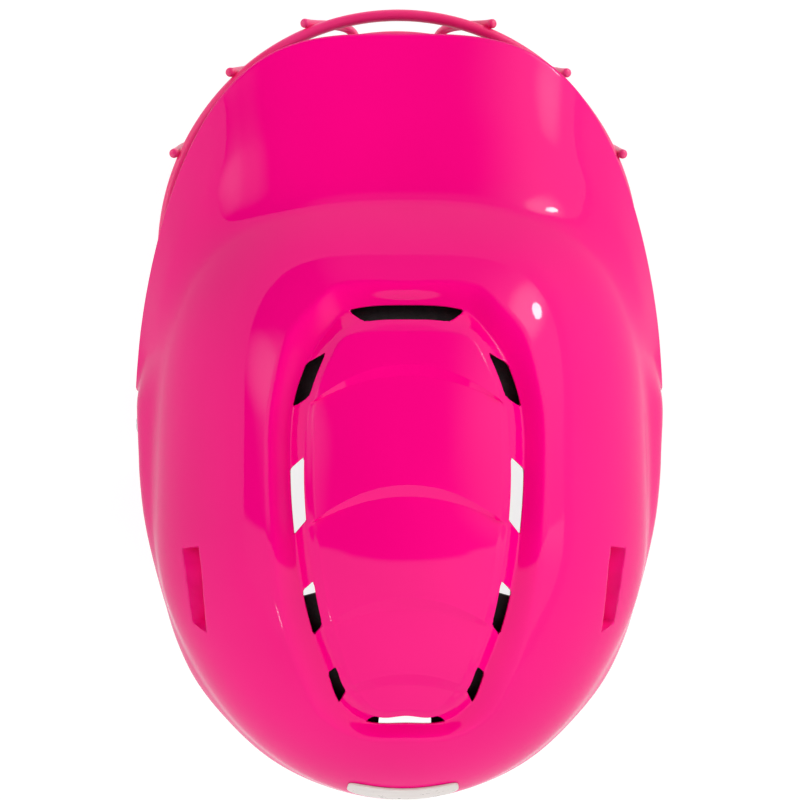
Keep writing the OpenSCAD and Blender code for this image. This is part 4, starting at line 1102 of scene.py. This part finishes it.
# %% [markdown]
# ## Padding
# The real pads are moulded foam, a soft closed-cell kind, with rounded faces and sunk channels
# where they bend. Moulded foam keeps its form, so each pad is a formula: two faces that follow
# the shell, a crown between its edges, an edge that rolls over, and channels as smooth grooves.

# %% Faces of a pad
PAD_GAP, EDGE_SHARE, RECESS = 0.8, 0.4, 7.0


def smooth_surface(a, v):
    """The dome without its recess: what the pads lie against."""
    p = plain_surface(a, v)
    dome = on_dome(p[..., :2], 0 * v)
    return np.where((v < 4)[..., None], dome, p)


def smooth_normal(a, v):
    """Unit normal of that surface."""
    down = smooth_surface(a, np.minimum(v + 0.06, 8)) - smooth_surface(a, v - 0.06)
    return unit(np.cross(down, smooth_surface(a + 0.6, v) - smooth_surface(a - 0.6, v)))


def back_depth(v):
    """Depth of a pad's back under the surface: wall and gap, and the recess where there is one."""
    return WALL + PAD_GAP + np.where(v < 4.7, RECESS * (1 - ease((v - 4.1) / 0.6)), 0)


def under_shell(a, v, depth):
    """Points at a depth behind a pad's back."""
    return smooth_surface(a, v) - smooth_normal(a, v) * (back_depth(v) + depth)[..., None]


def pillow(s):
    """Crown across a pad: 1 - |2s - 1|^5."""
    return 1 - np.abs(2 * s - 1) ** 5


def grooves(s, places, half_width, depth):
    """Sum of smooth grooves: depth times exp(-((s - place) / half width)^2)."""
    return depth * sum(np.exp(-((s - place) / half_width) ** 2) for place in places)


def dense_shares(n, margin):
    """Shares 0 to 1, with extra ones in the first and last margin, for the rolled edge."""
    edge = margin * (1 - cos(np.linspace(0, 90, 7)))
    return np.concatenate([edge, np.linspace(margin, 1 - margin, n)[1:-1], 1 - edge[::-1]])


def rolled(s, margin):
    """Quarter-round from 0.25 at a pad's border to 1 at the margin."""
    d = np.clip(np.minimum(s, 1 - s) / margin, 0, 1)
    return 0.25 + 0.75 * np.sqrt(np.maximum(0, 1 - (1 - d) ** 2))


def pad_sheets(a0, a1, top_v, end_v, thick, across, down, channels):
    """Back and head faces of a pad over places a0 to a1 and levels from top_v to end_v."""
    s, t = np.meshgrid(dense_shares(across, 0.02), dense_shares(down, 0.03))
    a = mix(a0, a1, s)
    v = mix(np.interp(a, *np.array(top_v).T), np.interp(a, *np.array(end_v).T), t)
    crown = mix(EDGE_SHARE, 1, pillow(s) * pillow(t))
    cut = np.minimum(channels(s, t), 0.62 * thick * crown)
    depth = (thick * crown - cut) * rolled(s, 0.02) * rolled(t, 0.03)
    return under_shell(a, v, np.minimum(slot_relief(a, v), 0.45 * depth)), under_shell(a, v, depth)


# %% A pad from its two faces
def two_sheets(name, back, head, rims, closed=True):
    """A solid from two sheets of the same size and a strip of faces along each rim.

    A rim is two rows of point numbers, each point and the next one along the border."""
    m = back.shape[0] * back.shape[1]
    quads = grid_quads(*back.shape[:2], closed=closed)
    strips = [np.stack([after, here, here + m, after + m], -1) for here, after in rims]
    return make_piece(name, np.concatenate([back.reshape(-1, 3), head.reshape(-1, 3)]),
                      [quads, quads[:, ::-1] + m, *strips])


def finish_pad(obj, node):
    """Shades a foam pad's sharp edges and ties it to the helmet."""
    sharpen(obj, 55)
    tie(obj, node)
    return obj


def pad_piece(name, back, head, node):
    """A pad of two sheets, joined round their border."""
    ids = np.arange(back.shape[0] * back.shape[1]).reshape(back.shape[:2])
    rim = np.concatenate([ids[0, :-1], ids[:-1, -1], ids[-1, :0:-1], ids[:0:-1, 0]])
    return finish_pad(two_sheets(name, back, head, [(rim, np.roll(rim, -1))], closed=False), node)


def mirrored(sheet):
    """A sheet reflected to the wearer's right, its columns reversed to keep its outside out."""
    return (sheet * [-1, 1, 1])[:, ::-1]


# %% Channels of the forehead, side and rear pads
def front_channels(s, t):
    """Four channels down the forehead pad, below its upper third, and one along it."""
    return (grooves(s, (0.22, 0.41, 0.59, 0.78), 0.009, 4.0) * ease((t - 0.3) / 0.12)
            + grooves(t, (0.42,), 0.02, 3.2))


def side_channels(s, t):
    """Two channels down a side pad and one along it."""
    return grooves(s, (0.34, 0.67), 0.017, 4.0) + grooves(t, (0.52,), 0.022, 2.6)


def rear_channels(s, t):
    """Three channels along a rear pad and one down it."""
    return grooves(t, (0.36, 0.58, 0.78), 0.014, 4.4) + grooves(s, (0.5,), 0.03, 2.4)


# %% Forehead, side and rear pads
def pad_pair(kind, *shape):
    """The same pad for the left and, mirrored, for the right."""
    back, head = pad_sheets(*shape)
    return [pad_piece(f"foam_{kind}_left", back, head, f"{kind}_left"),
            pad_piece(f"foam_{kind}_right", mirrored(back), mirrored(head), f"{kind}_right")]


FRONT_TOP = [[-60, 3.7], [-49, 3.1], [-33, 2], [-18, 1.4], [18, 1.4], [33, 2], [49, 3.1], [60, 3.7]]
FRONT_END = [[-60, 4.9], [0, 4.95], [60, 4.9]]
REAR_GAP, REAR_FROM_CROWN = 18.6, 84
REAR_END = 180 - math.degrees(math.asin(REAR_GAP / 2 / REAR_FROM_CROWN))
front_sheets = pad_sheets(-60, 60, FRONT_TOP, FRONT_END, 10.0, 120, 44, front_channels)
pads = [pad_piece("foam_front_pad", *front_sheets, "front_pad")]
pads += pad_pair("side_pad", 65, 127, [[65, 4.2], [127, 4.2]], [[65, 6.4], [127, 6.8]], 11.0, 64, 44,
                 side_channels)
pads += pad_pair("rear_pad", 133, REAR_END, [[133, 2.4], [142, 1.4], [180, 1.4]],
                 [[133, 7.2], [180, 7.2]], 12.0, 48, 96, rear_channels)

# %% [markdown]
# The ear pads are rings of foam: sound comes in through the hole in the shell and an opening in
# the pad. Their net runs from the opening's circle out to the pad's outline. The crown pad is
# one round cushion with channels that meet in the middle.

# %% Ear pads and crown pad
def ear_pad_sheets(thick, opening):
    """Ring net from the opening's circle to the outline in side view, slid onto the flap."""
    phi = np.linspace(0, 360, 96, endpoint=False)
    corner = (np.abs(cos(phi)) ** 6 + np.abs(sin(phi)) ** 6) ** (-1 / 6)
    a_out = 98.0 + 15.0 * corner * cos(phi)
    low = np.interp(a_out, [83, 95, 113], [7.55, 7.66, 7.6])
    v_out = mix(7.02, low, 0.5 - 0.5 * corner * sin(phi))
    outline = plain_surface(a_out, v_out)[:, 1:]
    centre = np.array([EAR_Y, EAR_Z])
    direction = outline - centre
    ring = centre + opening * direction / np.linalg.norm(direction, axis=1, keepdims=True)
    s = dense_shares(20, 0.08)
    yz = mix(ring[None], outline[None], s[:, None, None])
    a, v = np.full(yz.shape[:2], 96.0), np.full(yz.shape[:2], 7.35)
    for _ in range(3):
        a, v = slide(a, v, yz)
    wide = np.linalg.norm(outline - ring, axis=1)[None, :]
    near_hole = ease(np.minimum(s[:, None], 1 - s[:, None]) * wide / 6.0)
    depth = thick * mix(0.55, 1, near_hole) * rolled(s, 0.08)[:, None]
    depth = depth - np.minimum(grooves(s, (0.5,), 0.06, 2.0)[:, None] * (wide > 9), 0.4 * depth)
    return under_shell(a, v, 0 * a), under_shell(a, v, depth)


def ring_pad(name, back, head, node):
    """A pad whose columns run round and close, with a strip along its first and its last row."""
    i = np.arange(back.shape[1])
    j = np.roll(i, -1)
    last = (back.shape[0] - 1) * back.shape[1]
    obj = two_sheets(name, back, head, [(j, i), (last + i, last + j)])
    merge_doubles(obj)
    return finish_pad(obj, node)


back, head = ear_pad_sheets(12.0, 17.0)
pads += [ring_pad("foam_ear_pad_left", back, head, "ear_pad_left"),
         ring_pad("foam_ear_pad_right", back * [-1, 1, 1], head * [-1, 1, 1], "ear_pad_right")]


# %% Crown pad
def crown_pad_sheets(thick):
    """Back and head faces over the whole crown out to level 0.86, from the middle outwards."""
    q = np.concatenate([np.linspace(0, 0.97, 42), 1 - 0.03 * (1 - np.linspace(0, 1, 7)[1:]) ** 2])
    a, v = np.meshgrid(np.linspace(0, 360, 128, endpoint=False), q * 0.86)
    share = v / 0.86
    crown = mix(1, EDGE_SHARE, share ** 5)
    n = outward(a, v, plain_surface)
    p = plain_surface(a, v)
    x, y = p[..., 0], p[..., 1] - CROWN_Y
    cut = grooves(x / 10, (-1.2, 1.2), 0.16, 3.4) + grooves(y / 10, (-2.6, 1.0, 4.6), 0.16, 3.4)
    cut = np.minimum(cut, 0.5 * thick * crown)
    d = WALL + PAD_GAP
    depth = (thick * crown - cut) * rolled(np.clip(share, 0.5, 1), 0.03)
    back, head = p - n * d, p - n * (d + depth)[..., None]
    back[0], head[0] = p[0] - np.array([0, 0, d]), p[0] - np.array([0, 0, d + thick])
    return back, head


back, head = crown_pad_sheets(9.0)
pads.append(ring_pad("foam_crown_pad", back, head, "crown_pad"))

# %% [markdown]
# ## The plain badge
# The badge is a thin oblong of pale plastic stuck on the rear of the dome. It could be a box
# pressed onto the shell, but then its edge would be hard. So we lay rings of a rounded oblong
# on the dome's own formula and let the outermost rings fall away, which gives a soft edge.

# %% Badge on the dome
BADGE_W, BADGE_H, BADGE_T, BADGE_Z = 46.0, 16.0, 1.0, 131.0


def badge_sheets():
    """Rings of a superellipse of power 5 in azimuth and tilt, raised from the dome along its radius."""
    tilt = math.degrees(math.acos((BADGE_Z - DOME_BASE) / DOME_RISE))
    span_a = math.degrees(BADGE_W / 2 / (DOME_REAR * math.sin(math.radians(tilt))))
    span_t = math.degrees(BADGE_H / 2 / (DOME_REAR * 0.98))
    phi = np.linspace(0, 360, 128, endpoint=False)
    m = (np.abs(cos(phi)) ** 5 + np.abs(sin(phi)) ** 5) ** (-1 / 5)
    q = np.array([0, .25, .5, .7, .82, .9, .94, .965, .98, .99, .996, 1.0])[:, None]
    a, t = 180 + cos(phi) * m * q * span_a, tilt - sin(phi) * m * q * span_t
    p = dome_point(left_half(a), t) * np.where(a > 180, -1, 1)[..., None] ** np.array([1, 0, 0])
    n = unit(p - np.array([0, CROWN_Y, DOME_BASE]))
    edge = np.sqrt(np.maximum(0, 1 - np.clip((q - 0.93) / 0.07, 0, 1) ** 2))
    top = 0.25 + BADGE_T * (0.45 + 0.55 * edge)
    return p + n * (top * np.ones_like(a))[..., None], p + n * 0.25


face, base_sheet = badge_sheets()
rim = (face.shape[0] - 1) * face.shape[1] + np.arange(face.shape[1])
badge = two_sheets("plain_rear_badge", face, base_sheet, [(np.roll(rim, -1), rim)])
merge_doubles(badge)
sharpen(badge, 45)
tie(badge, "rear_badge")

# %% [markdown]
# ## Finishes
# All finishes are shader nodes on Object coordinates, which are metres here. A noise scale of
# 400 therefore gives grains of about 2.5 mm. Colours are written as in a paint chart and turned
# into the linear values that the shader wants.

# %% Node tools
def paint(code):
    """A hexadecimal colour as linear red, green, blue and 1."""
    c = np.array([int(code[i:i + 2], 16) for i in (1, 3, 5)]) / 255
    lin = np.where(c <= 0.04045, c / 12.92, ((c + 0.055) / 1.055) ** 2.4)
    return (*lin.tolist(), 1.0)


def add_node(tree, kind, links=(), **values):
    """A node of a kind; values set its properties or sockets, links maps sockets to outputs."""
    node = tree.nodes.new(kind)
    for key, value in values.items():
        if hasattr(node, key):
            setattr(node, key, value)
        else:
            node.inputs[key.replace("_", " ")].default_value = value
    for socket, output in dict(links).items():
        tree.links.new(output, node.inputs[socket])
    return node


def span_node(tree, factor, low, high, start=0.0, stop=1.0, **kind):
    """Maps a factor from start..stop to low..high."""
    return add_node(tree, "ShaderNodeMapRange", {"Value": factor}, From_Min=start, From_Max=stop,
                    To_Min=low, To_Max=high, **kind).outputs["Result"]


# %% Finishes as classes of nodes
class Finish:
    """A material with a few helpers that add and join nodes."""

    def __init__(self, name, **values):
        self.material = bpy.data.materials.new(name)
        self.material.use_nodes = True
        self.tree = self.material.node_tree
        self.shader = self.tree.nodes["Principled BSDF"]
        for key, value in values.items():
            self.shader.inputs[key.replace("_", " ")].default_value = value
        self.place = add_node(self.tree, "ShaderNodeTexCoord").outputs["Object"]

    def noise(self, scale, detail=3.0, rough=0.5, at=None):
        """Noise texture's factor on Object coordinates."""
        return add_node(self.tree, "ShaderNodeTexNoise", {"Vector": at or self.place}, Scale=scale,
                        Detail=detail, Roughness=rough).outputs["Fac"]

    def span(self, factor, low, high, start=0.3, stop=0.7):
        """Maps the middle of a noise to low..high."""
        return span_node(self.tree, factor, low, high, start, stop)

    def bump(self, height, strength, distance_mm, under=None):
        """Bump from a height factor; under is a coarser bump below it."""
        links = {"Height": height, "Normal": under} if under else {"Height": height}
        return add_node(self.tree, "ShaderNodeBump", links, Strength=strength,
                        Distance=distance_mm * MM).outputs["Normal"]

    def plug(self, socket, output):
        """Joins an output to the shader."""
        self.tree.links.new(output, self.shader.inputs[socket])

    def colour(self, factor, first, second):
        """Base colour between two paints by a factor."""
        node = add_node(self.tree, "ShaderNodeMix", data_type="RGBA")
        self.tree.links.new(factor, node.inputs["Factor"])
        node.inputs[6].default_value, node.inputs[7].default_value = paint(first), paint(second)
        self.plug("Base Color", node.outputs[2])


# %% [markdown]
# The shell is dyed hard plastic under a clear gloss. Its colour hardly varies; what makes it
# look real is the faint waviness of a moulded gloss, a little haze and hair-fine scuffs.

# %% Shell gloss
gloss = Finish("gloss hot pink", Roughness=0.3, IOR=1.03, Coat_Weight=0.185, Coat_Roughness=0.03,
               Coat_IOR=1.8)
gloss.colour(gloss.span(gloss.noise(9, 2), 0, 1, 0.35, 0.65), "#F4007E", "#FC0084")
haze = gloss.span(gloss.noise(60, 5, 0.6), 0.1, 0.2)
drawn_out = add_node(gloss.tree, "ShaderNodeMapping", {"Vector": gloss.place}, Scale=(1.0, 0.12, 0.5))
scuffs = gloss.span(gloss.noise(900, 2, 0.5, drawn_out.outputs["Vector"]), 0, 0.08, 0.66, 0.8)
gloss.plug("Roughness", add_node(gloss.tree, "ShaderNodeMath", {0: haze, 1: scuffs}).outputs["Value"])
gloss.plug("Normal", gloss.bump(gloss.noise(140, 2), 0.05, 0.25))
gloss.plug("Coat Normal", gloss.bump(gloss.noise(45, 2), 0.06, 0.5))
print("nodes of the shell's gloss", len(gloss.tree.nodes))

# %% [markdown]
# The other hard finishes are alike: two close paints mixed by a coarse noise, a roughness that
# wanders with a finer one, and a fine bump. So one helper makes them from their numbers.
#
# - The mould isn't polished inside the two slots, so the plastic there is dull; its colour is also
#   darker than the shell's, which is painted shade in the slots.
# - The guard's coating is a baked powder: satin, a little paler than the shell, with an even
#   orange-peel skin.
# - Clips are plain glossy plastic with a fine grain, and the badge is smooth pale plastic.
# - Screws, nuts and studs are zinc plated steel.

# %% Dull plastic with painted shade, guard, clips, badge and steel
def mottled(finish, paints, tint, rough, skin):
    """Gives a finish colour, roughness and bump from three noises.

    tint is the colour noise's factor, rough the noise's scale, detail, lowest and highest
    roughness, skin the bump noise's scale, strength and depth in millimetres."""
    finish.colour(tint(finish), *paints)
    finish.plug("Roughness", finish.span(finish.noise(*rough[:2]), *rough[2:]))
    finish.plug("Normal", finish.bump(finish.noise(skin[0], 2), *skin[1:]))
    print(finish.material.name, "has", len(finish.tree.nodes), "nodes")
    return finish


def spread(scale, detail=3):
    """A colour noise whose middle is spread to the full range."""
    return lambda finish: finish.span(finish.noise(scale, detail), 0, 1)


def even(scale, detail=3):
    """A colour noise as it is."""
    return lambda finish: finish.noise(scale, detail)


# The slots' finish is dull, and its pink is darker than the shell's as painted shade in the recess.
dull_pink_with_painted_shade = mottled(Finish("unpolished pink with painted shade in the slots", Roughness=0.6, IOR=1.2),
               ("#E0006C", "#F2007E"), spread(70), (260, 3, 0.5, 0.75), (1300, 0.3, 0.1))
coat = mottled(Finish("satin powder coating", Roughness=0.36, Coat_Weight=0.25, Coat_Roughness=0.3),
               ("#F81C72", "#FF3486"), spread(35), (220, 3, 0.3, 0.44), (900, 0.22, 0.12))
strap_plastic = mottled(Finish("clip plastic", Roughness=0.24),
                        ("#E8007A", "#F60C86"), even(90), (500, 3, 0.18, 0.34), (1500, 0.15, 0.06))
pale = mottled(Finish("pale badge plastic", Roughness=0.3),
               ("#D6CBC6", "#E4DCD7"), even(60, 2), (300, 2, 0.26, 0.36), (350, 0.05, 0.05))
steel = mottled(Finish("zinc plated steel", Metallic=1.0, Roughness=0.3, Anisotropic=0.3),
                ("#A9ABAE", "#CFD2D6"), spread(160, 4), (900, 4, 0.22, 0.42), (2600, 0.12, 0.04))

# %% [markdown]
# The foam is closed-cell: its skin shows the cells as tiny round dimples over a slow unevenness.
# A Voronoi texture gives the cells, and its distance serves both the bump and the colour; the colour is
# darker at the bottom of each dimple, as painted shade.

# %% Black foam
foam = Finish("black moulded foam", Roughness=0.85, Sheen_Weight=0.1, Sheen_Roughness=0.5)
voronoi = add_node(foam.tree, "ShaderNodeTexVoronoi", {"Vector": foam.place}, Scale=1500.0)
cells = voronoi.outputs["Distance"]
# The colour is darker at each dimple's bottom than at its rim: painted shade in the dimples.
foam.colour(foam.span(cells, 0, 1, 0.1, 0.7), "#060607", "#151517")
foam.plug("Roughness", foam.span(foam.noise(300, 3), 0.72, 0.95))
foam.plug("Normal", foam.bump(cells, 0.35, 0.25, foam.bump(foam.noise(120, 3), 0.25, 0.8)))


# %% Each piece gets its finish
def coat_with(finish, *objects):
    """Gives each object the finish in its first slot, or in all the slots it has."""
    for obj in objects:
        if not obj.material_slots:
            obj.data.materials.append(finish.material)
        for slot in obj.material_slots:
            slot.material = finish.material


coat_with(gloss, shell, bosses)
# The slots' finish: dull, and its darker pink is painted shade.
shell.data.materials.append(dull_pink_with_painted_shade.material)
coat_with(coat, *guard)
coat_with(strap_plastic, *clips)
coat_with(foam, *pads)
coat_with(pale, badge)
screws = [f"screw_{level}_{word}" for level in CLIP_SEATS for word in ("left", "right")]
coat_with(steel, *[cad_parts[name] for name in screws + ["t_nuts", "strap_studs"]])
print("finishes", len(bpy.data.materials))

# %% [markdown]
# ## Floor and light
# The picture's ground is white, with the helmet's soft shadow on it. The floor is a pale
# diffuse sheet that glows, but only for the camera and for reflections, so it adds no light to
# the helmet. A low round wall far away closes it off, so the helmet's flanks reflect one pale
# ground up to the horizon.

# %% Floor that is white to the camera
FLOOR_GLOW, FLOOR_PAINT = 0.8, (0.3, 0.3, 0.3, 1)


def seen_directly(tree):
    """1 for camera, glossy and transmission rays, else 0."""
    path = add_node(tree, "ShaderNodeLightPath").outputs
    total = path["Is Camera Ray"]
    for name in ("Is Glossy Ray", "Is Transmission Ray"):
        either = add_node(tree, "ShaderNodeMath", {0: total, 1: path[name]}, operation="MAXIMUM")
        total = either.outputs["Value"]
    return total


white_floor = Finish("white floor", Base_Color=FLOOR_PAINT, Roughness=0.9, Emission_Color=(1, 1, 1, 1))
glow = add_node(white_floor.tree, "ShaderNodeMath", {0: seen_directly(white_floor.tree)},
                operation="MULTIPLY")
glow.inputs[1].default_value = FLOOR_GLOW
white_floor.plug("Emission Strength", glow.outputs["Value"])

# %% The floor's disc and its low wall
STAGE_R, WALL_TOP, UNDER_FLAPS, SECTORS = 20000, 2000, 0.2, 97
rings = np.array([[1e-6, 0], [0.02, 0], [0.1, 0], [0.4, 0], [1, 0], [1, WALL_TOP]])
phi, reach = np.meshgrid(np.linspace(0, 360, SECTORS), rings[:, 0])
stage = xyz(STAGE_R * reach * cos(phi), STAGE_R * reach * sin(phi), rings[:, 1:] - UNDER_FLAPS)
floor = make_piece("studio_floor", stage.reshape(-1, 3), [grid_quads(len(rings), SECTORS)],
                   smooth=False)
floor.data.materials.append(white_floor.material)

# %% [markdown]
# The room above the floor is dark in front of the helmet and pale behind it, as in a studio with
# one white wall. The wall's edge shows in the gloss as the line across the rear flanks and as
# the arcs on the panel's steps. Soft glows stand in front of the helmet, left and right, and a
# small soft lamp in the middle of the right one: they are the spots on its shoulders. A second
# small lamp at the rear left makes the spot beside the left slot. A large fill lamp lights the
# front. The photographed gloss is dark there, so the fill has no mirror image.

# %% World
WALL_LEAN = 16.0
# Each row: azimuth, zenith, width, radiance.
GLOWS = [(-44, 74, 14, 4.0), (-61, 70, 50, 1.6), (70, 74, 14, 1.8), (72, 60, 24, 1.6),
         (-3, 80, 22, 0.4)]
world = bpy.data.worlds.new("studio with a pale wall")
bpy.context.scene.world = world
world.use_nodes = True
studio = world.node_tree
ground = studio.nodes["Background"]
ground.inputs["Color"].default_value = (1, 1, 1, 1)
ray = add_node(studio, "ShaderNodeTexCoord").outputs["Generated"]


def facing(direction, start, stop, low, high):
    """Maps the cosine between a ray and a direction from start..stop to low..high, smoothly."""
    dot = add_node(studio, "ShaderNodeVectorMath", {0: ray}, operation="DOT_PRODUCT")
    dot.inputs[1].default_value = direction
    return span_node(studio, dot.outputs["Value"], low, high, start, stop,
                     interpolation_type="SMOOTHSTEP")


def toward(azimuth_deg, zenith_deg):
    """Direction at an angle round from the front (left positive) and from the zenith."""
    flat = float(sin(zenith_deg))
    return float(sin(azimuth_deg)) * flat, -float(cos(azimuth_deg)) * flat, float(cos(zenith_deg))


def glow_at(azimuth_deg, zenith_deg, wide_deg, radiance):
    """A round glow in the sky that fades out at wide_deg from its middle."""
    none, full = float(cos(wide_deg)), float(cos(wide_deg * 0.2))
    return facing(toward(azimuth_deg, zenith_deg), none, full, 0, radiance)


dark_front = facing((-1, 0, 0), -0.3, 0.8, 0.06, 0.2)
pale_wall = facing((-1, 0, 0), -0.6, 0.8, 1.25, 1.6)
behind = facing((0, float(cos(WALL_LEAN)), -float(sin(WALL_LEAN))), -0.01, 0.03, 0, 1)
room = add_node(studio, "ShaderNodeMix", {"Factor": behind, "A": dark_front, "B": pale_wall})
total = room.outputs["Result"]
for values in GLOWS:
    total = add_node(studio, "ShaderNodeMath", {0: total, 1: glow_at(*values)}).outputs["Value"]
studio.links.new(total, ground.inputs["Strength"])
print("world nodes", len(studio.nodes), "glows", len(GLOWS))


# %% Lamps
def lamp(name, azimuth_deg, zenith_deg, size, watts, away=1.6):
    """A soft oval lamp that faces the helmet from an angle, away metres off."""
    data = bpy.data.lights.new(name, "AREA")
    data.shape, data.size, data.size_y, data.energy = "ELLIPSE", size[0], size[1], watts
    obj = bpy.data.objects.new(name, data)
    bpy.context.scene.collection.objects.link(obj)
    middle = Vector((0, 0, 0.12))
    place = middle + away * Vector(toward(azimuth_deg, zenith_deg))
    obj.matrix_world = look_at(place, middle, Vector((0, 0, 1)))
    return obj


lamp("right lamp", azimuth_deg=-48.5, zenith_deg=76.5, size=(0.2, 0.14), watts=3.0)
fill = lamp("front fill", azimuth_deg=50, zenith_deg=46, size=(1.2, 1.2), watts=6.2)
fill.visible_glossy = False
lamp("rear left lamp", azimuth_deg=128, zenith_deg=71, size=(0.22, 0.05), watts=1.0)
print("lamps", len(bpy.data.lights))
